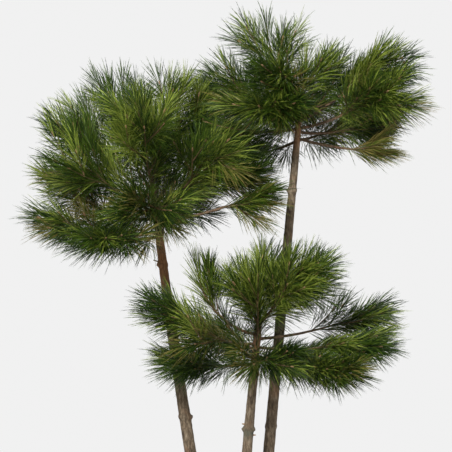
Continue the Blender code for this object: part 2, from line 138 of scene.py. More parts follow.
LEFT_LIMBS = (
    Limb("top", AT_TIP, 10, 76, 8, 0.37, 0.15, 4),
    Limb("west_low", 1.505, 187, -6, 30, 0.42, 0.25, 4),
    Limb("west", 1.553, 170, -2, 56, 0.44, 0.28, 4),
    Limb("west_high", 1.598, 196, 14, 60, 0.45, 0.28, 4),
    Limb("north_west", 1.628, 156, 30, 40, 0.46, 0.28, 4),
    Limb("north_high", 1.650, 134, 42, 34, 0.48, 0.28, 4),
    Limb("front_high", 1.634, 262, 36, 42, 0.38, 0.25, 4),
    Limb("east_high", 1.610, 22, 50, 36, 0.43, 0.25, 4),
    Limb("back_high", 1.590, 88, 34, 36, 0.40, 0.25, 3),
    Limb("east_upper", 1.586, 330, 28, 34, 0.35, 0.25, 3),
    Limb("east", 1.560, 18, 38, -26, 0.43, 0.40, 4, True),
    Limb("east_low", 1.530, 348, 13, 6, 0.42, 0.58, 3, True),
    Limb("front", 1.530, 266, 8, 22, 0.32, 0.25, 4),
    Limb("front_west", 1.490, 226, -10, 22, 0.35, 0.25, 4),
    Limb("back_east", 1.530, 72, 14, 26, 0.38, 0.25, 4),
)

RIGHT_LIMBS = (
    Limb("top", AT_TIP, 20, 78, 8, 0.14, 0.15, 2),
    Limb("top_west", 1.972, 172, 52, 28, 0.31, 0.25, 3),
    Limb("west_high", 1.955, 160, 8, 30, 0.36, 0.28, 4),
    Limb("front_west", 1.932, 236, -6, 18, 0.29, 0.20, 4),
    Limb("west", 1.912, 150, 4, 30, 0.39, 0.28, 4),
    Limb("west_low", 1.880, 184, -8, 24, 0.34, 0.28, 4),
    Limb("back_low", 1.836, 140, -18, 18, 0.26, 0.30, 3),
    Limb("front_high", 1.966, 250, 14, 22, 0.27, 0.20, 4),
    Limb("top_east", 1.976, 36, 20, 40, 0.25, 0.20, 3),
    Limb("east_upper", 1.944, 12, 12, 36, 0.29, 0.25, 3),
    Limb("east_high", 1.908, 356, 26, 30, 0.39, 0.44, 3, True),
    Limb("east", 1.882, 332, 8, 30, 0.39, 0.40, 4, True),
    Limb("far_east", 1.868, 14, -4, 34, 0.34, 0.35, 4, True),
    Limb("east_low", 1.846, 350, -16, 14, 0.31, 0.60, 1, True),
    Limb("back", 1.900, 88, 10, 30, 0.33, 0.25, 4),
    Limb("back_east", 1.838, 48, 8, 26, 0.36, 0.25, 4),
)

MIDDLE_LIMBS = (
    Limb("top", AT_TIP, 40, 84, 4, 0.21, 0.12, 4),
    Limb("front_west", 1.132, 270, 38, 36, 0.28, 0.10, 3),
    Limb("east_high", 1.185, 4, 42, 24, 0.28, 0.20, 2),
    Limb("east", 1.126, 16, 4, 18, 0.47, 0.40, 4, True),
    Limb("east_low", 1.096, 350, -4, 20, 0.43, 0.40, 4, True),
    Limb("front_east", 1.066, 332, -15, 14, 0.37, 0.32, 4, True),
    Limb("front", 1.062, 277, -6, 20, 0.28, 0.12, 4),
    Limb("west_upper", 1.140, 196, 16, 62, 0.35, 0.44, 1, True),
    Limb("west", 1.108, 215, 2, 42, 0.40, 0.30, 4),
    Limb("west_low", 1.038, 203, -4, 10, 0.27, 0.32, 4, True),
    Limb("front_high", 1.172, 312, 40, 30, 0.28, 0.20, 4),
    Limb("back", 1.090, 128, 6, 26, 0.30, 0.25, 3),
    Limb("back_east", 1.050, 40, -4, 18, 0.30, 0.25, 3),
)

TREES = ((LEFT, LEFT_LIMBS), (RIGHT, RIGHT_LIMBS), (MIDDLE, MIDDLE_LIMBS))

# ---------------------------------------------------------------- the sizes of the looks

# Finer twigs stand on each shoot and on the limb between the shoots.
TWIG_LENGTH = 0.125
TWIG_LENGTHS = (0.75, 1.15)
TWIG_ANGLES = (24.0, 42.0)
SHOOT_TWIG_SHARES = (0.25, 0.52)
LIMB_TWIGS = 8
INNER_SHARE = 0.35
FIRST_TWIG = 0.22
LAST_TWIG = 0.95
TWIG_TURN_SPREAD = 0.5
TWIG_TRIES = 6
TWIG_TRY_TURN = 1.1
TWIG_SEED = 1000
TWIG_SHARES = (0.25, 0.5, 0.75, 1.0)
TWIG_LIFT = 0.35
TWIG_REACH = 0.012
TWIG_RADII = (0.0026, 0.0014)
SHOOT_RADII = (0.0034, 0.0018)
LIMB_RADII = (WOOD_MASS_RADIUS, 0.0018)

# A bough is shown along at least this share of its limb.
BOUGH_SHARE = 0.12
BOUGH_SIDES = 12
BOUGH_RELIEF = 0.6
WOOD_STEP = 0.004

NEEDLE_WIDEST = 0.62
WIDEST_POWER = math.log(NEEDLE_WIDEST, 0.5)
NEEDLE_SPACING = 0.0018
NEEDLES_IN_BUNDLE = 3
TINT_LAYERS = 3
NEEDLE_SIZES = (0.78, 1.08)
NEEDLE_TURNS = (-0.5, 0.5)
NEEDLE_TILTS = (-0.16, 0.16)
CURL_SCALE = 9.0
BUD_SIZES = (0.7, 1.15)

# What each node tree is given, beside its material.
TWIG_INPUTS = {"step": 0.012, "sides": 6}
BUD_INPUTS = {"bud_length": 0.010, "bud_radius": 0.0034, "seed": 5}
NEEDLE_INPUTS = {
    "spacing": NEEDLE_SPACING * TINT_LAYERS,
    "needle_length": 0.120,
    "needle_radius": 0.00067,
    "root_angle": math.radians(44.0),
    "end_angle": math.radians(16.0),
    "splay": math.radians(4.5),
    "forward_bend": 0.10,
    "droop": 0.016,
}
MULCH_INPUTS = {"apart": 0.0078, "density": 14000.0, "chip_length": 0.022, "chip_width": 0.013, "seed": SEED}

# A chip's thickness as a share of its width, and how far it is split out of shape along each side.
CHIP_THICKNESS = 0.26
CHIP_SPLITS = (0.30, 0.24, 0.07)
CHIP_SPLIT_DEPTH = 2.4
CHIP_SPLIT_SCALE = 95.0
CHIP_ROLLS = (-0.30, 0.30)
CHIP_TIPS = (-0.36, 0.36)
CHIP_TURNS = (0.0, math.tau)
CHIP_SIZES = (0.55, 1.25)

# The stretch of a stem that carries needles itself, in heights above the soil.
LEAFY_STEMS = {"middle": (1.035, 1.206)}
LEAFY_STEM_SPREAD = 1.15
# The deep tint among them is painted shade.
LEAFY_STEM_TINTS = ("deep", "mid", "mid")

# How wide the needles of a limb stand, beside the others of its crown.
SPREADS = {
    "left": {
        "east_low": 0.65, "east": 0.80, "west": 0.85,
        "west_high": 0.78, "north_west": 0.78, "north_high": 0.82,
    },
    "right": {"east_low": 0.45},
    "middle": {"west_upper": 0.70, "west_low": 0.80, "east_low": 0.85, "west": 0.85, "front_west": 0.75},
}

# How much lighter or deeper, as painted light and shade, a limb's needles are than the rest of their crown. A
# few inner sprays turn olive.
OLIVE = -1.0
OLIVE_SHARE = 0.22
OLIVE_BELOW = 0.55
PAINTED_LIGHT_AND_OLIVE = {
    "left": {"front_high": 0.14, "back_high": -0.25, "back_east": -0.30},
    "right": {
        "east": 0.16, "far_east": 0.12, "east_high": 0.08,
        "west": -0.20, "back": -0.20, "back_low": -0.30, "east_low": OLIVE,
    },
    "middle": {"top": 0.22, "front_west": 0.18, "front_high": 0.20, "front_east": 0.10},
}

# A spray's tints go by chance, by its height in the crown as painted light, and by whether it stands inside as
# painted shade.
TINT_BY_CHANCE = 0.75
PAINTED_LIGHT_BY_HEIGHT = 0.30
PAINTED_SHADE_INSIDE = 0.10
TINT_STEPS = (
    (0.28, ("deep", "deep", "mid")),
    (0.52, ("deep", "mid", "mid")),
    (0.78, ("deep", "mid", "bright")),
    (math.inf, ("mid", "bright", "bright")),
)
OLIVE_TINTS = ("olive", "olive", "mid")

BARK_STEP = 0.006
BARK_SIDES = 36
BARK_RELIEF = 0.0010
PLANTED_STEPS = 3

# The stretch of each noise in the bark's relief, and its part in it.
CRACK_GRAIN, CRACK_DEPTH = (75.0, 75.0, 26.0), 1.76
SCALE_GRAIN, SCALE_DEPTH = (260.0, 260.0, 130.0), 0.35
LUMP_GRAIN, LUMP_DEPTH = (24.0, 24.0, 12.0), 0.9

# Whorl rings of the trunks: the height above the soil, the swelling, and the headings of the knots.
RING_HEIGHT = 0.008
RING_REACH = 0.06
KNOT_RADIUS = 0.011
KNOT_PROUD = 0.0060
KNOT_FADE = 2.0
TRUNK_RINGS = {
    "left": (
        (0.42, 0.0022, (200, 320)),
        (0.835, 0.0034, (250, 20, 140)),
        (1.13, 0.0020, (300,)),
        (1.386, 0.0028, (188, 60)),
    ),
    "right": (
        (0.36, 0.0022, (240,)),
        (0.80, 0.0026, (280, 110)),
        (1.22, 0.0022, (250, 40)),
        (1.656, 0.0030, (195, 300)),
    ),
    "middle": (
        (0.34, 0.0022, (230, 60)),
        (0.805, 0.0034, (182, 330)),
        (0.985, 0.0018, (280,)),
    ),
}

# Broken ends of old branches: the height above the soil, heading, rise, length and radius.
STUB_SIDES = 10
STUB_RELIEF = 0.8
STUB_SUNK = 0.6
STUB_SAG = 0.12
STUB_SHARES = (0.0, 0.35, 0.7, 1.0)
STUB_WIDTHS = (1.25, 1.0, 0.85, 0.55)
SPLINTER = 0.4
STUBS = {
    "left": (
        (1.388, 186, 28, 0.030, 0.0034),
        (0.97, 320, 24, 0.022, 0.0030),
        (1.22, 120, 30, 0.026, 0.0032),
    ),
    "right": (
        (1.855, 196, 44, 0.070, 0.0030),
        (1.905, 204, 52, 0.062, 0.0028),
        (1.40, 70, 25, 0.026, 0.0032),
        (1.01, 250, 20, 0.022, 0.0030),
    ),
    "middle": (
        (0.817, 190, 20, 0.017, 0.0034),
        (0.781, 350, 12, 0.017, 0.0034),
        (0.52, 80, 24, 0.024, 0.0030),
    ),
}

POT_SIDES = 144
POT_STEP = 0.007
FILLET_STEPS = 5
INNER_FLOOR_ROUNDING = 0.010
MOUTH_ROUNDING = 0.0045
RIM_ROUNDING = 0.008
NECK_ROUNDING = 0.003
DRILL_SIDES = 32
SHARP_EDGE = math.radians(40.0)

# Throwing lines run round the wall from a little above its foot.
LINES_FROM = 0.012
LINES_OUTSIDE = 0.9
LINE_WAVES, LINE_DEPTH = 900.0, 0.00022
WAVER, WAVER_SCALE = 2.0, 5.0
UNEVEN_SCALE, UNEVEN_DEPTH = 9.0, 0.0007
WALL_INSET = 0.0006

SOIL_GAP = 0.0006
SOIL_RINGS = 34
CRUMBS_INSET = 0.003
COARSE_CRUMBS = (28.0, 0.0035)
FINE_CRUMBS = (90.0, 0.0016)
BED_SIDES = 64
BED_INSET = 0.013
BED_LIFT = 0.0005

# The colours are linear red, green and blue.
BLACK, WHITE = (0.0, 0.0, 0.0), (1.0, 1.0, 1.0)
BARK_BROWNS = ((0.040, 0.028, 0.018), (0.130, 0.095, 0.060), (0.27, 0.215, 0.15))
BOUGH_BROWNS = ((0.040, 0.028, 0.018), (0.115, 0.075, 0.045), (0.24, 0.165, 0.10))
PATCH_RED = (0.20, 0.105, 0.055)
RED_BARK = (0.26, 0.115, 0.045)
ALGAE = (0.055, 0.095, 0.075)
LIME_BLOOM = (0.62, 0.50, 0.42)
SPECK = (0.72, 0.72, 0.72)
CLAYS = ((0.30, (0.31, 0.112, 0.054)), (0.60, (0.39, 0.152, 0.076)), (0.80, (0.45, 0.20, 0.115)))
CHIPS = ((0.20, (0.040, 0.022, 0.013)), (0.52, (0.125, 0.068, 0.036)), (0.85, (0.26, 0.16, 0.09)))
# The deep and bright tints are shaded and lit copies of one green: painted shade and painted highlight strands
# among the mid ones.
NEEDLE_TINTS = {
    "deep": ((0.006, 0.018, 0.001), (0.011, 0.030, 0.002)),
    "mid": ((0.036, 0.068, 0.005), (0.056, 0.096, 0.008)),
    "bright": ((0.146, 0.194, 0.024), (0.212, 0.260, 0.038)),
    "olive": ((0.130, 0.120, 0.024), (0.210, 0.170, 0.048)),
}

# Centre, reach, strength and colour of each stain.
STAINS = {
    "left": (((-0.262, 0.05, 1.78), 0.15, 0.75, RED_BARK), ((-0.13, 0.04, 0.95), 0.10, 0.35, ALGAE)),
    "right": (((0.225, 0.07, 2.26), 0.12, 0.55, RED_BARK), ((0.18, 0.06, 1.62), 0.14, 0.30, ALGAE)),
    "middle": (((0.047, -0.08, 1.185), 0.045, 0.75, ALGAE), ((0.075, -0.09, 1.45), 0.12, 0.60, RED_BARK)),
}

UNSTRETCHED = (1.0, 1.0, 1.0)


@dataclass(frozen=True)
class Finish:
    """An even surface: its colours along one noise, and the relief that the same noise gives it.

    The colours are (place, colour) stops, and the relief is a strength and a depth.
    """

    roughness: float
    specular: float
    grain: float
    detail: float
    colours: tuple
    relief: tuple = ()
    stretch: tuple = UNSTRETCHED
    fineness: float = 0.55


# Young wood with old needle scars, bud scales, crumbly soil with pale grains, and broken wood.
YOUNG_WOOD = ((0.36, (0.045, 0.030, 0.016)), (0.52, (0.115, 0.070, 0.032)), (0.72, (0.22, 0.14, 0.065)))
SCALES = ((0.35, (0.16, 0.075, 0.030)), (0.7, (0.42, 0.27, 0.14)))
EARTHS = ((0.35, (0.018, 0.012, 0.008)), (0.62, (0.060, 0.040, 0.026)), (0.80, (0.16, 0.12, 0.085)))
TANS = ((0.32, (0.11, 0.065, 0.030)), (0.55, (0.27, 0.17, 0.085)), (0.78, (0.44, 0.31, 0.18)))
FINISHES = {
    "twig_bark": Finish(0.8, 0.3, 260.0, 3.0, YOUNG_WOOD, (0.8, 0.001)),
    "bud_scales": Finish(0.6, 0.5, 400.0, 2.0, SCALES, stretch=(1.0, 1.0, 2.0)),
    "potting_soil": Finish(0.93, 0.2, 140.0, 5.0, EARTHS, (0.7, 0.002), fineness=0.65),
    "broken_wood": Finish(0.82, 0.25, 300.0, 4.0, TANS, (0.7, 0.001), stretch=(1.0, 1.0, 0.3)),
}

# The view is square, with this many points on a side that each show so many metres.
IMAGE_SIDE = 452
METRES_PER_POINT = 0.0036
VIEW_WIDTH = IMAGE_SIDE * METRES_PER_POINT
SENSOR_WIDTH = 36.0
CAMERA_DISTANCE = 6.0
CAMERA_X = -0.036
CAMERA_Z = 1.9114
FLOOR_RADIUS = 7.0
FLOOR_SIDES = 96
FLOOR_COLOUR = (0.52, 0.52, 0.52)
FADE_FROM = 0.9
FADE_TO = FLOOR_RADIUS * 0.95
SURROUND = (0.878, 0.878, 0.878)
WORLD_LIGHT = 0.40

# The name, place, aim, size and power of each lamp.
LIGHTS = (
    ("key", (-1.6, -4.4, 4.8), (0.0, 0.0, 1.8), 0.9, 500.0),
    ("fill", (3.4, -3.0, 2.6), (0.0, 0.0, 1.7), 3.0, 60.0),
    ("back", (1.0, 4.0, 4.4), (0.0, 0.0, 1.9), 2.6, 120.0),
)

# ---------------------------------------------------------------- where limbs run


def stem_axis(stem, share):
    """The point of a trunk's centre line at this share of its height."""
    foot = Vector((*stem.foot, SOIL_TOP))
    tip = Vector((stem.tip[0], stem.tip[1], SOIL_TOP + stem.tip[2]))
    bow = Vector((*stem.bow, 0.0))
    return foot.lerp(tip, share) + bow * (4.0 * share * (1.0 - share))


def stem_radius(stem, share):
    """A trunk's radius: nearly even for most of its height, with a flare at the root."""
    even = stem.foot_radius - (stem.foot_radius - stem.tip_radius) * share**TRUNK_TAPER_POWER
    return even + stem.flare * math.exp(-share * stem.tip[2] / FLARE_HEIGHT)


def direction(heading, rise):
    """The direction with this heading and rise, in degrees."""
    heading, rise = math.radians(heading), math.radians(rise)
    level = math.cos(rise)
    return Vector((level * math.cos(heading), level * math.sin(heading), math.sin(rise)))


def limb_path(stem, limb):
    """The points of a limb's arc, from the trunk's centre line to its tip."""
    share = 1.0 if limb.height is AT_TIP else limb.height / stem.tip[2]
    point = stem_axis(stem, share)
    points = [point]
    for step in range(LIMB_STEPS):
        along = direction(limb.heading, limb.rise + limb.bend * step / (LIMB_STEPS - 1))
        point = point + along * (limb.length / LIMB_STEPS)
        points.append(point)
    return points


def point_along(points, share):
    """The point and the direction at this share of a path of even steps."""
    place = min(max(share, 0.0), 1.0) * (len(points) - 1)
    index = min(int(place), len(points) - 2)
    start, end = points[index], points[index + 1]
    return start.lerp(end, place - index), (end - start).normalized()


def path_between(points, first, last):
    """The stretch of a path between two shares."""
    steps = len(points) - 1
    margin = 1e-3
    inner = [points[i] for i in range(1, steps) if first + margin < i / steps < last - margin]
    return [point_along(points, first)[0], *inner, point_along(points, last)[0]]


def side_direction(along, angle, azimuth):
    """A direction that leaves this one at an angle, turned about it by an azimuth."""
    across = along.orthogonal().normalized()
    across = Quaternion(along, azimuth) @ across
    return along * math.cos(angle) + across * math.sin(angle)


# ---------------------------------------------------------------- the space of each mass


class Space:
    """Tells whether a piece stays nearer to its own limb than to any other, and clear of the trunks."""

    def __init__(self, trees):
        starts, ends, self.first, self.names = [], [], [], []
        for stem, limbs in trees:
            for limb in limbs:
                path = limb_path(stem, limb)
                self.first.append(len(starts))
                self.names.append((stem.name, limb.name))
                starts += path[:-1]
                ends += path[1:]
        self.starts, self.ends = np.array(starts), np.array(ends)
        self.stems = [stem for stem, _ in trees]

    def distances(self, points, starts, ends):
        """From each point to each straight piece."""
        run = ends - starts
        share = np.einsum("pmk,mk->pm", points[:, None] - starts, run) / (run * run).sum(1)
        nearest = starts + np.clip(share, 0.0, 1.0)[..., None] * run
        return np.linalg.norm(points[:, None] - nearest, axis=2)

    def clear_of_trunks(self, points, radii):
        for stem in self.stems:
            axis = np.array([stem_axis(stem, i / TRUNK_POINTS) for i in range(TRUNK_POINTS + 1)])
            gap = self.distances(points, axis[:-1], axis[1:]).min(1)
            if (gap < stem.foot_radius + radii + SPACE_GAP).any():
                return False
        return True

    def holds(self, owner, points, radii):
        """True if these points, each with its radius, keep to the owner's space."""
        points, radii = np.array(points), np.array(radii)
        each = self.distances(points, self.starts, self.ends)
        each = np.minimum.reduceat(each, self.first, axis=1)
        index = self.names.index(owner)
        own = each[:, index].copy()
        each[:, index] = np.inf
        return bool((each.min(1) - own > SPACE_GAP + 2.0 * radii).all())


def samples(points, radii):
    """Points and radii close together along a path."""
    run = sum((b - a).length for a, b in zip(points, points[1:]))
    count = max(3, math.ceil(run / SAMPLE_STEP))
    shares = [i / count for i in range(count + 1)]
    places = [point_along(points, share)[0] for share in shares]
    widths = np.interp(shares, np.linspace(0.0, 1.0, len(radii)), radii)
    return np.array(places), np.array(widths)


class Crowd:
    """What one mass holds so far, so that a new twig keeps off the rest."""

    def __init__(self):
        self.places, self.widths = np.empty((0, 3)), np.empty(0)

    def add(self, places, widths):
        self.places = np.vstack((self.places, places))
        self.widths = np.concatenate((self.widths, widths))

    def leaves_room(self, places, widths):
        apart = np.linalg.norm(places[:, None] - self.places, axis=2)
        return bool((apart > widths[:, None] + self.widths + NEIGHBOUR_GAP).all())


# ---------------------------------------------------------------- the seeded rule


def rising_path(start, along, length, shares, lift):
    """The root of a twig and its points at these shares of its length. It turns upward along its way."""
    points = [start]
    before = 0.0
    for share in shares:
        along = (along + Vector((0.0, 0.0, lift * (share - before)))).normalized()
        points.append(points[-1] + along * (length * (share - before)))
        before = share
    return points


def shoots_of(space, stem, limb, path, chance):
    """The side shoots of a mass, which keep to its space."""
    owner = (stem.name, limb.name)
    crowd = Crowd()
    crowd.add(*samples(path, (WOOD_ROOT_RADIUS, WOOD_TIP_RADIUS)))
    found = []
    first = limb.bare + FIRST_SHOOT * (1.0 - limb.bare)
    top = max(point.z for point in path) - SHOOT_HEADROOM
    for order in range(limb.shoots):
        step = (order + chance.uniform(0.0, SHOOT_STAGGER)) / limb.shoots
        share = first + (LAST_SHOOT - first) * step
        start, along = point_along(path, share)
        turn = order * GOLDEN_ANGLE + chance.uniform(-SHOOT_TURN_SPREAD, SHOOT_TURN_SPREAD)
        angle = math.radians(SHOOT_OFF_ANGLE + chance.uniform(-SHOOT_OFF_SPREAD, SHOOT_OFF_SPREAD))
        length = SHOOT_LENGTH * (1.0 + chance.uniform(-SHOOT_LENGTH_SPREAD, SHOOT_LENGTH_SPREAD))
        length *= 1.0 + SHOOT_LONGER_AT_ROOT - SHOOT_SHORTER_AT_TIP * share
        for attempt in range(SHOOT_TRIES):
            away = side_direction(along, angle, turn + attempt * TRY_TURN)
            shorter = length * (1.0 - TRY_SHORTER * attempt)
            points = rising_path(start, away, shorter, (*WHORL_SHARES, 1.0), SHOOT_LIFT)
            places, widths = samples(points[1:], (*CORE_RADII, 0.0))
            end = points[-1].z
            level_enough = start.z - SHOOT_SAG < end < max(top, start.z + SHOOT_RISE)
            inside = space.holds(owner, places, widths) and space.clear_of_trunks(places, widths)
            if level_enough and inside and crowd.leaves_room(places, widths):
                crowd.add(places, widths)
                found.append(points)
                break
    return found


def twigs_of(path, bare, shoots, chance):
    """Finer twigs on the shoots and on the limb. They end inside the box of the limb's own wood."""
    wood = np.array([point for line in (path, *shoots) for point in line])
    low, high = wood.min(0) - TWIG_REACH, wood.max(0) + TWIG_REACH
    roots = [(shoot, share) for shoot in shoots for share in SHOOT_TWIG_SHARES]
    roots += [(path, bare + (LAST_TWIG - bare) * (i + 0.5) / LIMB_TWIGS) for i in range(LIMB_TWIGS)]
    found = []
    for order, (line, share) in enumerate(roots):
        start, along = point_along(line, share)
        turn = order * GOLDEN_ANGLE + chance.uniform(-TWIG_TURN_SPREAD, TWIG_TURN_SPREAD)
        angle = math.radians(chance.uniform(*TWIG_ANGLES))
        length = TWIG_LENGTH * chance.uniform(*TWIG_LENGTHS)
        for attempt in range(TWIG_TRIES):
            away = side_direction(along, angle, turn + attempt * TWIG_TRY_TURN)
            points = rising_path(start, away, length, TWIG_SHARES, TWIG_LIFT)
            end = points[-1]
            if all(low[i] < end[i] < high[i] for i in range(3)):
                found.append(points)
                break
    return found


# ---------------------------------------------------------------- node trees


def connect(tree, socket, value):
    """Links an input to another node's result, or sets it to a value of its own."""
    if isinstance(value, bpy.types.NodeSocket):
        tree.links.new(value, socket)
    else:
        socket.default_value = (*value, 1.0) if socket.type == "RGBA" else value


def add(tree, kind, *ordered, **named):
    """Adds a node. Inputs are given in order, or by a name with a capital. Small letters name its options."""
    made = tree.nodes.new(kind)
    for key, value in named.items():
        if key[0].islower():
            setattr(made, key, value)
    for socket, value in zip(made.inputs, ordered):
        connect(tree, socket, value)
    for key, value in named.items():
        if key[0].isupper():
            label = key.replace("_", " ")
            connect(tree, next(s for s in made.inputs if s.enabled and s.name == label), value)
    return made


def result(tree, kind, *ordered, **named):
    """The first result of a new node."""
    return next(socket for socket in add(tree, kind, *ordered, **named).outputs if socket.enabled)


def number(tree, first, second, operation="MULTIPLY"):
    return result(tree, "ShaderNodeMath", first, second, operation=operation)


def vector(tree, first, second, operation="ADD"):
    return result(tree, "ShaderNodeVectorMath", first, second, operation=operation)


def size_of(tree, place):
    return result(tree, "ShaderNodeVectorMath", place, operation="LENGTH")


def xyz(tree, *parts):
    return result(tree, "ShaderNodeCombineXYZ", *parts)


def remapped(tree, value, *limits, **options):
    """The value taken from the first pair of limits to the second, and kept inside it."""
    return result(tree, "ShaderNodeMapRange", value, *limits, **options)


def chance_between(tree, limits, seed, further=0.0):
    """A random number for each point, from the seed or a further one."""
    if further:
        seed = number(tree, seed, further, "ADD")
    return result(tree, "FunctionNodeRandomValue", Min=limits[0], Max=limits[1], Seed=seed, data_type="FLOAT")


def turned(tree, rotation, axis, angle):
    """A rotation turned further about one of its own axes."""
    by = result(tree, "FunctionNodeAxisAngleToRotation", Axis=axis, Angle=angle)
    return result(tree, "FunctionNodeRotateRotation", rotation, by, rotation_space="LOCAL")


def named_value(tree, name):
    return result(tree, "GeometryNodeInputNamedAttribute", Name=name, data_type="FLOAT")


def wander(tree, scale, detail):
    """A vector that changes smoothly from place to place, of up to a half each way."""
    made = add(tree, "ShaderNodeTexNoise", Scale=scale, Detail=detail)
    return vector(tree, made.outputs["Color"], (0.5, 0.5, 0.5), "SUBTRACT")


def new_tree(name, values, count="Seed"):
    """A Geometry Nodes tree with these inputs and a material, its input sockets and its output."""
    tree = bpy.data.node_groups.new(name, "GeometryNodeTree")
    tree.interface.new_socket("Geometry", in_out="INPUT", socket_type="NodeSocketGeometry")
    tree.interface.new_socket("Geometry", in_out="OUTPUT", socket_type="NodeSocketGeometry")
    for label, kind in (*((value, "Float") for value in values), (count, "Int"), ("Material", "Material")):
        tree.interface.new_socket(label, in_out="INPUT", socket_type="NodeSocket" + kind)
    return tree, tree.nodes.new("NodeGroupInput").outputs, tree.nodes.new("NodeGroupOutput")


def closed(tree, inlet, outlet, whole):
    """Gives the real mesh its material, and ends the tree with it."""
    whole = result(tree, "GeometryNodeSetMaterial", Geometry=whole, Material=inlet["Material"])
    tree.links.new(whole, outlet.inputs[0])
    return tree


def smooth_lines(tree, mesh, spacing):
    """The polylines of a mesh as smooth curves with points this far apart."""
    lines = result(tree, "GeometryNodeMeshToCurve", Mesh=mesh)
    lines = result(tree, "GeometryNodeCurveSplineType", Curve=lines, spline_type="CATMULL_ROM")
    return result(tree, "GeometryNodeResampleCurve", Curve=lines, Length=spacing, mode="LENGTH")


def captured(tree, lines, kind, name, value):
    """The same curves, and a value as it stands at each of their points."""
    made = add(tree, "GeometryNodeCaptureAttribute", Geometry=lines, domain="POINT")
    made.capture_items.new(kind, name)
    tree.links.new(value, made.inputs[name])
    return made.outputs["Geometry"], made.outputs[name]


def points_along(tree, lines):
    """The points of curves, and the rotation that aims each along its curve."""
    points = add(tree, "GeometryNodeCurveToPoints", Curve=lines, mode="EVALUATED").outputs
    aim = result(tree, "FunctionNodeAlignRotationToVector", Vector=points["Tangent"], axis="Z")
    return points["Points"], aim


def realized(tree, kind="GeometryNodeInstanceOnPoints", **inputs):
    """Copies on points, or what another kind of node makes, as one real mesh."""
    return result(tree, "GeometryNodeRealizeInstances", Geometry=result(tree, kind, **inputs))


def needle_bundle(tree, inlet):
    """Slim three-sided spindles from one point, a little apart and bent forward.

    Each is widest past its middle. The share of the length is stored for the droop.
    """
    length, radius = inlet["Needle length"], inlet["Needle radius"]
    spindle = result(tree, "GeometryNodeMeshUVSphere", Segments=3, Rings=2, Radius=1.0)
    split = add(tree, "ShaderNodeSeparateXYZ", result(tree, "GeometryNodeInputPosition")).outputs
    along = number(tree, number(tree, split["Z"], 0.5), 0.5, "ADD")
    along = number(tree, along, WIDEST_POWER, "POWER")
    stored = {"Geometry": spindle, "Name": "along", "Value": along, "data_type": "FLOAT", "domain": "POINT"}
    needle = result(tree, "GeometryNodeStoreNamedAttribute", **stored)
    bend = number(tree, number(tree, along, along), number(tree, inlet["Forward bend"], length))
    across = number(tree, number(tree, split["X"], radius), bend, "SUBTRACT")
    aside, ahead = number(tree, split["Y"], radius), number(tree, along, length)
    shape = xyz(tree, across, aside, ahead)
    needle = result(tree, "GeometryNodeSetPosition", Geometry=needle, Position=shape)
    points = result(tree, "GeometryNodePoints", Count=NEEDLES_IN_BUNDLE)
    turn = number(tree, result(tree, "GeometryNodeInputIndex"), math.tau / NEEDLES_IN_BUNDLE)
    aim = result(tree, "FunctionNodeAxisAngleToRotation", Axis=(0.0, 0.0, 1.0), Angle=turn)
    aim = turned(tree, aim, (0.0, 1.0, 0.0), inlet["Splay"])
    return realized(tree, Points=points, Instance=needle, Rotation=aim)


def needle_tree():
    """Bundles of needles along each line, in a spiral, more forward towards its end."""
    angles = ("Root angle", "End angle", "Splay", "Forward bend", "Droop")
    names = ("Spacing", "Needle length", "Needle radius", *angles)
    tree, inlet, outlet = new_tree("needles along twigs", names)
    seed = inlet["Seed"]
    lines = smooth_lines(tree, inlet["Geometry"], inlet["Spacing"])
    lines, share = captured(tree, lines, "FLOAT", "share", result(tree, "GeometryNodeSplineParameter"))
    points, aim = points_along(tree, lines)
    turn = number(tree, result(tree, "GeometryNodeInputIndex"), GOLDEN_ANGLE)
    turn = number(tree, turn, chance_between(tree, NEEDLE_TURNS, seed), "ADD")
    tilt = remapped(tree, share, 0.0, 1.0, inlet["Root angle"], inlet["End angle"])
    tilt = number(tree, tilt, chance_between(tree, NEEDLE_TILTS, seed, 7.0), "ADD")
    tilt = number(tree, tilt, named_value(tree, "spread"))
    aim = turned(tree, turned(tree, aim, (0.0, 0.0, 1.0), turn), (0.0, 1.0, 0.0), tilt)
    size = chance_between(tree, NEEDLE_SIZES, seed, 13.0)
    whole = realized(tree, Points=points, Instance=needle_bundle(tree, inlet), Rotation=aim, Scale=size)
    along = named_value(tree, "along")
    reach = number(tree, number(tree, along, along), inlet["Droop"])
    curl = vector(tree, wander(tree, CURL_SCALE, 1.0), (0.0, 0.0, -1.0))
    sag = result(tree, "ShaderNodeVectorMath", curl, Scale=reach, operation="SCALE")
    whole = result(tree, "GeometryNodeSetPosition", Geometry=whole, Offset=sag)
    return closed(tree, inlet, outlet, whole)


def twig_tree():
    """Round twigs along each line, as thick as its girth attribute says."""
    tree, inlet, outlet = new_tree("twigs", ("Step",), "Sides")
    lines = smooth_lines(tree, inlet["Geometry"], inlet["Step"])
    profile = result(tree, "GeometryNodeCurvePrimitiveCircle", Radius=1.0, Resolution=inlet["Sides"])
    tube = {"Curve": lines, "Profile_Curve": profile, "Fill_Caps": True, "Scale": named_value(tree, "girth")}
    return closed(tree, inlet, outlet, realized(tree, "GeometryNodeCurveToMesh", **tube))


def bud_tree():
    """A pointed bud on the end of each line."""
    tree, inlet, outlet = new_tree("buds", ("Bud length", "Bud radius"))
    lines = result(tree, "GeometryNodeMeshToCurve", Mesh=inlet["Geometry"])
    at_end = result(tree, "GeometryNodeCurveEndpointSelection", Start_Size=0, End_Size=1)
    lines, tip = captured(tree, lines, "BOOLEAN", "tip", at_end)
    points, aim = points_along(tree, lines)
    ball = result(tree, "GeometryNodeMeshUVSphere", Segments=6, Rings=4, Radius=1.0)
    shape = xyz(tree, inlet["Bud radius"], inlet["Bud radius"], inlet["Bud length"])
    bud = result(tree, "GeometryNodeTransform", Geometry=ball, Scale=shape)
    size = chance_between(tree, BUD_SIZES, inlet["Seed"])
    whole = realized(tree, Points=points, Instance=bud, Rotation=aim, Selection=tip, Scale=size)
    return closed(tree, inlet, outlet, whole)


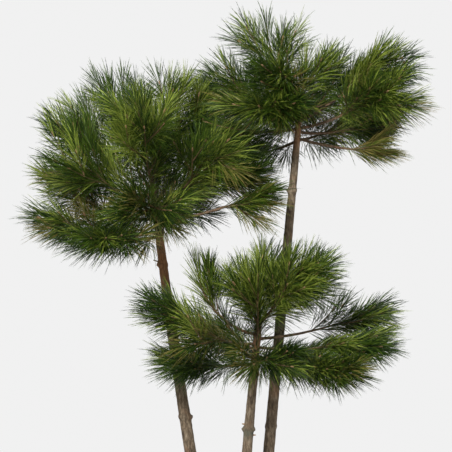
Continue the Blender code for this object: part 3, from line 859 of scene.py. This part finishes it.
def mulch_tree():
    """Flat, split bark chips strewn over a surface, each turned, tipped and sized by chance."""
    tree, inlet, outlet = new_tree("bark mulch", ("Apart", "Density", "Chip length", "Chip width"))
    seed, length, width = inlet["Seed"], inlet["Chip length"], inlet["Chip width"]
    scatter = {"Distance_Min": inlet["Apart"], "Density_Max": inlet["Density"], "Seed": seed}
    scatter.update(Mesh=inlet["Geometry"], distribute_method="POISSON")
    spots = result(tree, "GeometryNodeDistributePointsOnFaces", **scatter)
    size = xyz(tree, length, width, number(tree, width, CHIP_THICKNESS))
    slab = result(tree, "GeometryNodeMeshCube", Size=size, Vertices_X=4, Vertices_Y=3, Vertices_Z=2)
    reach = vector(tree, length, CHIP_SPLITS, "MULTIPLY")
    split = vector(tree, wander(tree, CHIP_SPLIT_SCALE, 2.0), reach, "MULTIPLY")
    split = vector(tree, split, (CHIP_SPLIT_DEPTH,) * 3, "MULTIPLY")
    chip = result(tree, "GeometryNodeSetPosition", Geometry=slab, Offset=split)
    turns = ((CHIP_ROLLS, 9.0), (CHIP_TIPS, 5.0), (CHIP_TURNS, 3.0))
    aim = xyz(tree, *(chance_between(tree, limits, seed, further) for limits, further in turns))
    scale = chance_between(tree, CHIP_SIZES, seed, 11.0)
    whole = realized(tree, Points=spots, Instance=chip, Rotation=aim, Scale=scale)
    return closed(tree, inlet, outlet, whole)


def linked(name, data):
    """A new object of the scene."""
    made = bpy.data.objects.new(name, data)
    bpy.context.scene.collection.objects.link(made)
    return made


def lines_mesh(name, lines, **values):
    """A mesh of polylines. Each named value gives a number for every point, in the order of the lines."""
    points, edges = [], []
    for line in lines:
        first = len(points)
        points += [tuple(point) for point in line]
        edges += [(first + i, first + i + 1) for i in range(len(line) - 1)]
    mesh = bpy.data.meshes.new(name)
    mesh.from_pydata(points, edges, [])
    for key, each in values.items():
        mesh.attributes.new(key, "FLOAT", "POINT").data.foreach_set("value", np.array(each, np.float32))
    return linked(name, mesh)


def applied(obj):
    """Leaves the result of an object's modifiers as its own plain mesh."""
    graph = bpy.context.evaluated_depsgraph_get()
    mesh = bpy.data.meshes.new_from_object(obj.evaluated_get(graph))
    obj.modifiers.clear()
    obj.data = mesh


def grown(obj, tree, **inputs):
    """Runs a Geometry Nodes tree on an object."""
    modifier = obj.modifiers.new("grow", "NODES")
    modifier.node_group = tree
    named = {item.name: item.identifier for item in tree.interface.items_tree if item.in_out == "INPUT"}
    for key, value in inputs.items():
        modifier[named[key.replace("_", " ").capitalize()]] = value
    applied(obj)


# ---------------------------------------------------------------- materials


def principled(name, **settings):
    """A material with a Principled shader, and its tree."""
    made = bpy.data.materials.new(name)
    made.use_nodes = True
    shader = made.node_tree.nodes["Principled BSDF"]
    for key, value in settings.items():
        connect(made.node_tree, shader.inputs[key.replace("_", " ")], value)
    return made, made.node_tree, shader


def ramp(tree, factor, stops):
    """A colour ramp through (place, colour) stops."""
    made = add(tree, "ShaderNodeValToRGB", factor)
    elements = made.color_ramp.elements
    while len(elements) < len(stops):
        elements.new(0.5)
    for element, (place, colour) in zip(elements, stops):
        element.position = place
        element.color = (*colour, 1.0)
    return made.outputs["Color"]


def own_place(tree):
    """The place on the piece itself."""
    return add(tree, "ShaderNodeTexCoord").outputs["Object"]


def object_place(tree, scale=UNSTRETCHED):
    return result(tree, "ShaderNodeMapping", Vector=own_place(tree), Scale=scale)


def noise_at(tree, place, scale, detail=4.0, roughness=0.55):
    return result(tree, "ShaderNodeTexNoise", Vector=place, Scale=scale, Detail=detail, Roughness=roughness)


def blend(tree, factor, first, second, blend_type="MIX"):
    """A mix of two colours."""
    mixed = {"Factor": factor, "A": first, "B": second, "data_type": "RGBA", "blend_type": blend_type}
    return result(tree, "ShaderNodeMix", **mixed)


def dressed(tree, shader, colour, height=None, strength=0.0, distance=0.0):
    """Gives a shader its colour and, if there is a height, its relief."""
    tree.links.new(colour, shader.inputs["Base Color"])
    if height is not None:
        made = result(tree, "ShaderNodeBump", Height=height, Strength=strength, Distance=distance)
        tree.links.new(made, shader.inputs["Normal"])


def even_material(name, finish):
    """A material of one noise, as its finish says."""
    made, tree, shader = principled(name, Roughness=finish.roughness, Specular_IOR_Level=finish.specular)
    grain = noise_at(tree, object_place(tree, finish.stretch), finish.grain, finish.detail, finish.fineness)
    relief = (grain, *finish.relief) if finish.relief else ()
    dressed(tree, shader, ramp(tree, grain, finish.colours), *relief)
    return made


def needle_material(tint):
    """Waxy green, in two close shades that change slowly through the crown."""
    first, second = NEEDLE_TINTS[tint]
    return even_material("needles_" + tint, Finish(0.5, 0.22, 7.0, 2.0, ((0.35, first), (0.65, second))))


def stained(tree, colour, patches, centre, reach, strength, stain):
    """A colour with a stain that fades out round its centre: algae, or the young red bark under a crown."""
    away = size_of(tree, vector(tree, own_place(tree), centre, "SUBTRACT"))
    away = number(tree, away, number(tree, patches, reach * 0.8), "ADD")
    return blend(tree, remapped(tree, away, reach * 0.7, reach * 1.3, strength, 0.0), colour, stain)


def bark_material(name, dark, middle, pale, stains=()):
    """Scaly grey-brown bark: long plates, cracks in their own dark colour with painted shade in them, pale
    flakes and a few reddish patches.
    """
    made, tree, shader = principled(name, Roughness=0.86, Specular_IOR_Level=0.25)
    plates = noise_at(tree, object_place(tree, (1.0, 1.0, 0.35)), 95.0, 6.0, 0.62)
    patches = noise_at(tree, object_place(tree), 16.0, 3.0)
    colour = ramp(tree, plates, ((0.30, dark), (0.48, middle), (0.72, pale)))
    red = ramp(tree, patches, ((0.52, BLACK), (0.68, WHITE)))
    colour = blend(tree, number(tree, red, 0.45), colour, PATCH_RED)
    for stain in stains:
        colour = stained(tree, colour, patches, *stain)
    cracks = {"Vector": object_place(tree, (1.0, 1.0, 0.28)), "Scale": 120.0, "feature": "DISTANCE_TO_EDGE"}
    cracks = add(tree, "ShaderNodeTexVoronoi", **cracks).outputs["Distance"]
    crack_shade = ramp(tree, cracks, ((0.0, BLACK), (0.12, WHITE)))
    # The cracks are darkened: partly the bark's own dark colour, partly painted shade.
    colour = blend(tree, number(tree, number(tree, 1.0, crack_shade, "SUBTRACT"), 0.5), colour, dark)
    height = number(tree, number(tree, crack_shade, 0.5), plates, "ADD")
    dressed(tree, shader, colour, height, 0.7, 0.0015)
    return made


def clay_material():
    """Fired clay, with a pale bloom of lime that is thicker low down, and dark specks."""
    made, tree, shader = principled("fired_clay", Roughness=0.82, Specular_IOR_Level=0.3)
    place = object_place(tree)
    grain = noise_at(tree, place, 180.0)
    colour = ramp(tree, noise_at(tree, place, 6.0), CLAYS)
    low = remapped(tree, add(tree, "ShaderNodeSeparateXYZ", place).outputs["Z"], 0.0, 0.22, 0.55, 0.0)
    bloom = ramp(tree, noise_at(tree, place, 13.0, 6.0, 0.7), ((0.45, BLACK), (0.75, WHITE)))
    colour = blend(tree, number(tree, number(tree, low, bloom), 0.12, "ADD"), colour, LIME_BLOOM)
    specks = ramp(tree, grain, ((0.28, SPECK), (0.50, WHITE)))
    colour = blend(tree, 1.0, colour, specks, "MULTIPLY")
    dressed(tree, shader, colour, grain, 0.25, 0.0008)
    return made


def chip_material():
    """Bark chips: each a brown of its own, ribbed along the wood."""
    made, tree, shader = principled("bark_chips", Roughness=0.85, Specular_IOR_Level=0.25)
    each = add(tree, "ShaderNodeTexVoronoi", Vector=object_place(tree), Scale=52.0).outputs["Color"]
    each = result(tree, "ShaderNodeSeparateColor", each)
    ribs = noise_at(tree, object_place(tree, (1.0, 0.3, 1.0)), 420.0, 3.0)
    draw = number(tree, number(tree, each, 0.75), number(tree, ribs, 0.35), "ADD")
    dressed(tree, shader, ramp(tree, draw, CHIPS), ribs, 0.6, 0.001)
    return made


# ---------------------------------------------------------------- bark


def noise_in(place, grain):
    """Smooth noise at a point, stretched by the grain."""
    return noise.noise(Vector([part * scale for part, scale in zip(place, grain)]))


def bark_height(place, relief):
    """The relief of the bark at a point: long plates with cracks between them, fine scales and lumps."""
    cracks = abs(noise_in(place, CRACK_GRAIN)) * CRACK_DEPTH
    scales = noise_in(place, SCALE_GRAIN) * SCALE_DEPTH
    lumps = noise_in(place, LUMP_GRAIN) * LUMP_DEPTH
    return BARK_RELIEF * (scales + lumps - cracks) * relief


def ring_height(place, away, radius, rings):
    """How far a trunk swells at a point, for its whorl rings and their knots."""
    proud = 0.0
    for ring_at, swell, knots in rings:
        height = place.z - SOIL_TOP - ring_at
        if abs(height) < RING_REACH:
            proud += swell * math.exp(-((height / RING_HEIGHT) ** 2))
            for heading in knots:
                turn = math.atan2(away.y, away.x) - math.radians(heading)
                reach = math.hypot(height, radius * 2.0 * math.sin(turn / 2.0))
                proud += KNOT_PROUD * math.exp(-((reach / KNOT_RADIUS) ** 2) * KNOT_FADE)
    return proud


def frames_along(points):
    """A direction and two across it for each point, carried along without a twist."""
    found = []
    across = None
    for index, point in enumerate(points):
        ahead = points[min(index + 1, len(points) - 1)]
        behind = points[max(index - 1, 0)]
        along = (ahead - behind).normalized()
        across = along.orthogonal() if across is None else across - along * across.dot(along)
        across = across.normalized()
        found.append((along, across, along.cross(across)))
    return found


def joined(shape, loops):
    """Adds the walls between loops of as many points each."""
    for lower, upper in zip(loops, loops[1:]):
        for side in range(len(lower)):
            after = (side + 1) % len(lower)
            shape.faces.new((lower[side], lower[after], upper[after], upper[side]))


def capped(shape, loop, place):
    """Closes a loop with triangles to one point."""
    pole = shape.verts.new(place)
    for side in range(len(loop)):
        shape.faces.new((loop[side], loop[(side + 1) % len(loop)], pole))


def bark_tube(shape, points, radii, sides, rings=(), relief=1.0):
    """Adds a closed tube with the bark's relief, whorl rings and knots to a bmesh."""
    loops = []
    for (along, across, over), point, radius in zip(frames_along(points), points, radii):
        loop = []
        for side in range(sides):
            angle = math.tau * side / sides
            away = across * math.cos(angle) + over * math.sin(angle)
            place = point + away * radius
            proud = bark_height(place, relief) + ring_height(place, away, radius, rings)
            loop.append(shape.verts.new(place + away * proud))
        loops.append(loop)
    joined(shape, loops)
    shape.faces.new(list(reversed(loops[0])))
    capped(shape, loops[-1], points[-1] + (points[-1] - points[-2]).normalized() * radii[-1] * SPLINTER)


def smooth_path(points, radii, step):
    """A Catmull-Rom curve through the points, with the radii, in even steps."""
    count = len(points) - 1
    fine, widths = [], []
    for i in range(count):
        a, b = points[max(i - 1, 0)], points[i]
        c, d = points[i + 1], points[min(i + 2, count)]
        pieces = max(1, round((c - b).length / step))
        for j in range(pieces):
            t = j / pieces
            place = b * 2.0 + (c - a) * t + (a * 2.0 - b * 5.0 + c * 4.0 - d) * t**2
            place += (b * 3.0 - a - c * 3.0 + d) * t**3
            fine.append(place * 0.5)
            widths.append(radii[i] + (radii[i + 1] - radii[i]) * t)
    return fine + [points[-1]], widths + [radii[-1]]


def mesh_object(name, shape, material):
    """A bmesh as a smooth object of its own with one material."""
    mesh = bpy.data.meshes.new(name)
    bmesh.ops.recalc_face_normals(shape, faces=shape.faces)
    shape.to_mesh(mesh)
    shape.free()
    mesh.materials.append(material)
    mesh.polygons.foreach_set("use_smooth", [True] * len(mesh.polygons))
    return linked(name, mesh)


def trunk_piece(stem, material):
    """A trunk with its bark, from a little below the soil to its tip."""
    shape = bmesh.new()
    steps = round(stem.tip[2] / BARK_STEP)
    shares = [i / steps for i in range(-PLANTED_STEPS, steps + 1)]
    points = [stem_axis(stem, share) for share in shares]
    radii = [stem_radius(stem, share) for share in shares]
    bark_tube(shape, points, radii, BARK_SIDES, TRUNK_RINGS[stem.name])
    made = mesh_object("bark_" + stem.name, shape, material)
    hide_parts("trunk_" + stem.name)
    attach(made, "root")


def stubs_piece(stem, material):
    """The broken ends of old branches on a trunk, each with a splintered tip."""
    shape = bmesh.new()
    for height, heading, rise, length, radius in STUBS[stem.name]:
        share = height / stem.tip[2]
        along = direction(heading, rise)
        start = stem_axis(stem, share) + along * (stem_radius(stem, share) * STUB_SUNK)
        sag = Vector((0.0, 0.0, -STUB_SAG * length))
        points = [start + along * (length * t) + sag * t * t for t in STUB_SHARES]
        radii = [radius * width for width in STUB_WIDTHS]
        bark_tube(shape, *smooth_path(points, radii, WOOD_STEP), STUB_SIDES, relief=STUB_RELIEF)
    made = mesh_object("stubs_" + stem.name, shape, material)
    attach(made, "root")


# ---------------------------------------------------------------- crowns


def tints_of(share_up, inner, shade, chance):
    """The tints of one spray's needles: painted shade low down and inside, painted light towards the top and
    the tips.
    """
    draw = chance.random() * TINT_BY_CHANCE + share_up * PAINTED_LIGHT_BY_HEIGHT - PAINTED_SHADE_INSIDE * inner + shade
    if shade <= OLIVE or (inner and share_up < OLIVE_BELOW and chance.random() < OLIVE_SHARE):
        return OLIVE_TINTS
    return next(tints for limit, tints in TINT_STEPS if draw < limit)


def evenly(first, last, count):
    """Numbers in even steps from the first to the last."""
    return [first + (last - first) * i / (count - 1) for i in range(count)]


class Crown:
    """The lines that the twigs, buds and needles of one stem's crown are grown along."""

    def __init__(self):
        self.twigs, self.girths, self.buds = [], [], []
        self.sprays = {tint: [] for tint in NEEDLE_TINTS}

    def add_twig(self, line, radii):
        self.twigs.append(line)
        self.girths += evenly(*radii, len(line))
        self.buds.append(line[-2:])

    def add_needles(self, line, tints, spread):
        for tint in tints:
            self.sprays[tint].append((line, spread))


def crown_lines(stem, limbs, space, first_number, boughs):
    """Works out a crown's lines, limb by limb, and adds the bark of its boughs to a bmesh."""
    crown = Crown()
    paths = [limb_path(stem, limb) for limb in limbs]
    low = min(point.z for path in paths for point in path)
    high = max(point.z for path in paths for point in path)
    for order, (limb, path) in enumerate(zip(limbs, paths), first_number):
        shoots = shoots_of(space, stem, limb, path, random.Random(SEED + order))
        chance = random.Random(TWIG_SEED + SEED + order)
        twigs = twigs_of(path, limb.bare * (1.0 if limb.bough else FIRST_TWIG), shoots, chance)
        bough_share = max(limb.bare, BOUGH_SHARE)
        wood = path_between(path, 0.0, bough_share)
        radii = evenly(WOOD_ROOT_RADIUS, WOOD_MASS_RADIUS, len(wood))
        bark_tube(boughs, *smooth_path(wood, radii, WOOD_STEP), BOUGH_SIDES, relief=BOUGH_RELIEF)
        crown.add_twig(path_between(path, bough_share, 1.0), LIMB_RADII)
        for line in shoots:
            crown.add_twig(line, SHOOT_RADII)
        for line in twigs:
            crown.add_twig(line, TWIG_RADII)
        leafy = path_between(path, limb.bare * (1.0 if limb.bough else INNER_SHARE), 1.0)
        # shade is the limb's painted light and shade, and OLIVE marks a limb of olive needles.
        shade, spread = PAINTED_LIGHT_AND_OLIVE[stem.name].get(limb.name, 0.0), SPREADS[stem.name].get(limb.name, 1.0)
        for line, inner in [(leafy, False), *[(s, False) for s in shoots], *[(t, True) for t in twigs]]:
            share_up = (line[-1].z - low) / (high - low)
            crown.add_needles(line, tints_of(share_up, inner, shade, chance), spread)
    if stem.name in LEAFY_STEMS:
        first, last = (height / stem.tip[2] for height in LEAFY_STEMS[stem.name])
        line = [stem_axis(stem, share) for share in evenly(first, last, LIMB_STEPS + 1)]
        crown.add_needles(line, LEAFY_STEM_TINTS, LEAFY_STEM_SPREAD)
    return crown


def crown_pieces(stem, limbs, space, first_number, trees, materials):
    """The boughs, twigs, buds and needles of one stem's crown."""
    shape = bmesh.new()
    crown = crown_lines(stem, limbs, space, first_number, shape)
    boughs = mesh_object("boughs_" + stem.name, shape, materials["bough"])
    for limb in limbs:
        if limb.bough:
            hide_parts(f"bough_{stem.name}_{limb.name}")
    twigs = lines_mesh("twigs_" + stem.name, crown.twigs, girth=crown.girths)
    grown(twigs, trees["twigs"], material=materials["twig"], **TWIG_INPUTS)
    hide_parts(*[f"foliage_{stem.name}_{limb.name}" for limb in limbs])
    buds = lines_mesh("buds_" + stem.name, crown.buds)
    grown(buds, trees["buds"], material=materials["bud"], **BUD_INPUTS)
    for piece in (boughs, twigs, buds):
        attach(piece, "root")
    for index, (tint, sprays) in enumerate(crown.sprays.items()):
        if not sprays:
            continue
        spreads = [spread for line, spread in sprays for _ in line]
        piece = lines_mesh(f"needles_{stem.name}_{tint}", [line for line, _ in sprays], spread=spreads)
        grown(piece, trees["needles"], seed=SEED + index, material=materials[tint], **NEEDLE_INPUTS)
        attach(piece, "root")


# ---------------------------------------------------------------- pot and soil


def inner_radius(height):
    """The pot's inner wall, which tapers with the outer one."""
    share = height / POT_HEIGHT
    return POT_FOOT_RADIUS + (POT_TOP_RADIUS - POT_FOOT_RADIUS) * share - POT_WALL


def rounded(corners):
    """A profile through (radius, height, fillet) corners, with an arc at each that has a fillet."""
    profile = [Vector(corner[:2]) for corner in corners]
    found = []
    for index, (point, (_, _, fillet)) in enumerate(zip(profile, corners)):
        if not fillet:
            found.append(point)
            continue
        before = (profile[index - 1] - point).normalized() * fillet
        after = (profile[index + 1] - point).normalized() * fillet
        for step in range(FILLET_STEPS + 1):
            t = step / FILLET_STEPS
            found.append(point + before * (1.0 - t) ** 2 + after * t**2)
    return found


def finely(profile, step):
    """The same profile with more points along its long runs."""
    found = []
    for a, b in zip(profile, profile[1:]):
        pieces = max(1, round((b - a).length / step))
        found += [a.lerp(b, i / pieces) for i in range(pieces)]
    return found + [profile[-1]]


def lathed(shape, profile, sides, ripple):
    """Adds the closed solid of revolution of a profile from axis to axis. ripple moves each point."""
    loops = []
    for radius, height in profile[1:-1]:
        angles = [math.tau * side / sides for side in range(sides)]
        places = [Vector((radius * math.cos(angle), radius * math.sin(angle), height)) for angle in angles]
        loops.append([shape.verts.new(place + ripple(place)) for place in places])
    joined(shape, loops)
    capped(shape, loops[0], (0.0, 0.0, profile[0][1]))
    capped(shape, loops[-1], (0.0, 0.0, profile[-1][1]))


def throwing_lines(place):
    """The faint rings and the unevenness of a turned clay wall."""
    reach = math.hypot(place.x, place.y)
    if reach < POT_FOOT_RADIUS * LINES_OUTSIDE or place.z < LINES_FROM:
        return Vector()
    away = Vector((place.x, place.y, 0.0)) / reach
    rings = math.sin(place.z * LINE_WAVES + WAVER * noise.noise(place * WAVER_SCALE)) * LINE_DEPTH
    uneven = noise.noise(place * UNEVEN_SCALE) * UNEVEN_DEPTH
    return away * (rings + uneven - WALL_INSET)


def pot_piece(material):
    """The turned clay pot with its thick rim and drain holes."""
    rim_low = POT_HEIGHT - RIM_HEIGHT
    rim_radius = POT_TOP_RADIUS + RIM_PROUD
    neck_radius = inner_radius(rim_low) + POT_WALL
    corners = [
        (0.0, POT_FLOOR, 0.0),
        (inner_radius(POT_FLOOR), POT_FLOOR, INNER_FLOOR_ROUNDING),
        (inner_radius(POT_HEIGHT), POT_HEIGHT, MOUTH_ROUNDING),
        (rim_radius, POT_HEIGHT, RIM_ROUNDING),
        (rim_radius - LIP_ROUNDING, rim_low, LIP_ROUNDING),
        (neck_radius, rim_low - LIP_ROUNDING / 2.0, NECK_ROUNDING),
        (POT_FOOT_RADIUS, 0.0, EDGE_ROUNDING),
        (0.0, 0.0, 0.0),
    ]
    shape = bmesh.new()
    lathed(shape, finely(rounded(corners), POT_STEP), POT_SIDES, throwing_lines)
    made = mesh_object("clay_pot", shape, material)
    for hole in range(DRAIN_HOLES):
        angle = math.tau * (hole + 0.5) / DRAIN_HOLES
        place = (DRAIN_CIRCLE * math.cos(angle), DRAIN_CIRCLE * math.sin(angle), POT_FLOOR / 2.0)
        size = {"radius": DRAIN_RADIUS, "depth": POT_FLOOR * 3.0, "vertices": DRILL_SIDES}
        bpy.ops.mesh.primitive_cylinder_add(location=place, **size)
        drill = bpy.context.active_object
        cut = made.modifiers.new("drain", "BOOLEAN")
        cut.operation, cut.solver, cut.object = "DIFFERENCE", "EXACT", drill
        applied(made)
        bpy.data.objects.remove(drill)
    made.data.polygons.foreach_set("use_smooth", [True] * len(made.data.polygons))
    made.data.set_sharp_from_angle(angle=SHARP_EDGE)
    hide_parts("pot")
    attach(made, "root")


def soil_height(radius):
    """The soil's level: flat in the middle, then falling to the wall."""
    edge = inner_radius(SOIL_TOP - SOIL_EDGE_DROP)
    fall = min(max((radius - SOIL_FLAT_RADIUS) / (edge - SOIL_FLAT_RADIUS), 0.0), 1.0)
    return SOIL_TOP - SOIL_EDGE_DROP * fall


def crumbs(place):
    """The uneven top of the soil."""
    if place.z < SOIL_TOP - SOIL_EDGE_DROP - CRUMBS_INSET:
        return Vector()
    rough = sum(noise.noise(place * scale) * depth for scale, depth in (COARSE_CRUMBS, FINE_CRUMBS))
    return Vector((0.0, 0.0, rough - CRUMBS_INSET))


def soil_pieces(earth, chips, tree):
    """The soil, and the bark chips that are strewn over it by Geometry Nodes."""
    wall = inner_radius(SOIL_TOP - SOIL_EDGE_DROP) - SOIL_GAP
    top = [Vector((radius, soil_height(radius))) for radius in evenly(0.0, wall, SOIL_RINGS + 1)]
    low = POT_FLOOR + SOIL_GAP
    profile = [*top, Vector((inner_radius(POT_FLOOR) - SOIL_GAP, low)), Vector((0.0, low))]
    shape = bmesh.new()
    lathed(shape, profile, POT_SIDES, crumbs)
    soil = mesh_object("potting_soil", shape, earth)
    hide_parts("soil")
    bed = bmesh.new()
    bmesh.ops.create_circle(bed, cap_ends=True, radius=wall - BED_INSET, segments=BED_SIDES)
    bmesh.ops.translate(bed, verts=bed.verts, vec=(0.0, 0.0, SOIL_TOP + BED_LIFT))
    mulch = mesh_object("bark_mulch", bed, chips)
    grown(mulch, tree, material=chips, **MULCH_INPUTS)
    for piece in (soil, mulch):
        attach(piece, "root")


# ---------------------------------------------------------------- stage


def floor_stage():
    """A plain pale floor that fades into the pale surround."""
    bpy.ops.mesh.primitive_circle_add(vertices=FLOOR_SIDES, radius=FLOOR_RADIUS, fill_type="NGON")
    floor = bpy.context.active_object
    floor.name = "floor"
    made, tree, shader = principled("pale_floor", Roughness=0.9, Base_Color=FLOOR_COLOUR)
    reach = size_of(tree, vector(tree, own_place(tree), (1.0, 1.0, 0.0), "MULTIPLY"))
    fade = remapped(tree, reach, FADE_FROM, FADE_TO, interpolation_type="SMOOTHSTEP")
    glow = result(tree, "ShaderNodeEmission", Color=SURROUND)
    mix = result(tree, "ShaderNodeMixShader", fade, shader.outputs[0], glow)
    tree.links.new(mix, tree.nodes["Material Output"].inputs["Surface"])
    floor.data.materials.append(made)


def studio_world():
    """Even light from all round, behind a pale surround."""
    world = bpy.data.worlds.new("studio")
    bpy.context.scene.world = world
    world.use_nodes = True
    tree = world.node_tree
    tree.nodes.clear()
    lit = result(tree, "ShaderNodeBackground", Color=WHITE, Strength=WORLD_LIGHT)
    seen = result(tree, "ShaderNodeBackground", Color=SURROUND, Strength=1.0)
    mix = result(tree, "ShaderNodeMixShader", result(tree, "ShaderNodeLightPath"), lit, seen)
    add(tree, "ShaderNodeOutputWorld", mix)


def build_stage():
    """The floor, the surround, soft lamps and the camera."""
    floor_stage()
    studio_world()
    for name, place, aim, size, power in LIGHTS:
        data = bpy.data.lights.new(name, "AREA")
        data.shape = "DISK"
        data.size = size
        data.energy = power
        lamp = linked(name, data)
        lamp.location = place
        lamp.rotation_euler = (Vector(aim) - Vector(place)).to_track_quat("-Z", "Y").to_euler()
    data = bpy.data.cameras.new("camera")
    data.sensor_width = SENSOR_WIDTH
    data.lens = SENSOR_WIDTH * CAMERA_DISTANCE / VIEW_WIDTH
    camera = linked("camera", data)
    camera.location = (CAMERA_X, -CAMERA_DISTANCE, CAMERA_Z)
    camera.rotation_euler = (math.radians(90.0), 0.0, 0.0)
    bpy.context.scene.camera = camera
    bpy.context.scene.view_settings.view_transform = "Standard"


def main():
    space = Space(TREES)
    trees = {"needles": needle_tree(), "twigs": twig_tree(), "buds": bud_tree(), "mulch": mulch_tree()}
    materials = {tint: needle_material(tint) for tint in NEEDLE_TINTS}
    twig, bud, earth, broken = (even_material(name, finish) for name, finish in FINISHES.items())
    materials |= {"twig": twig, "bud": bud, "bough": bark_material("bark_boughs", *BOUGH_BROWNS)}
    first = 1
    for stem, limbs in TREES:
        bark = bark_material("bark_" + stem.name, *BARK_BROWNS, STAINS[stem.name])
        trunk_piece(stem, bark)
        stubs_piece(stem, broken)
        crown_pieces(stem, limbs, space, first, trees, materials)
        first += len(limbs)
    pot_piece(clay_material())
    soil_pieces(earth, chip_material(), trees["mulch"])
    build_stage()


main()
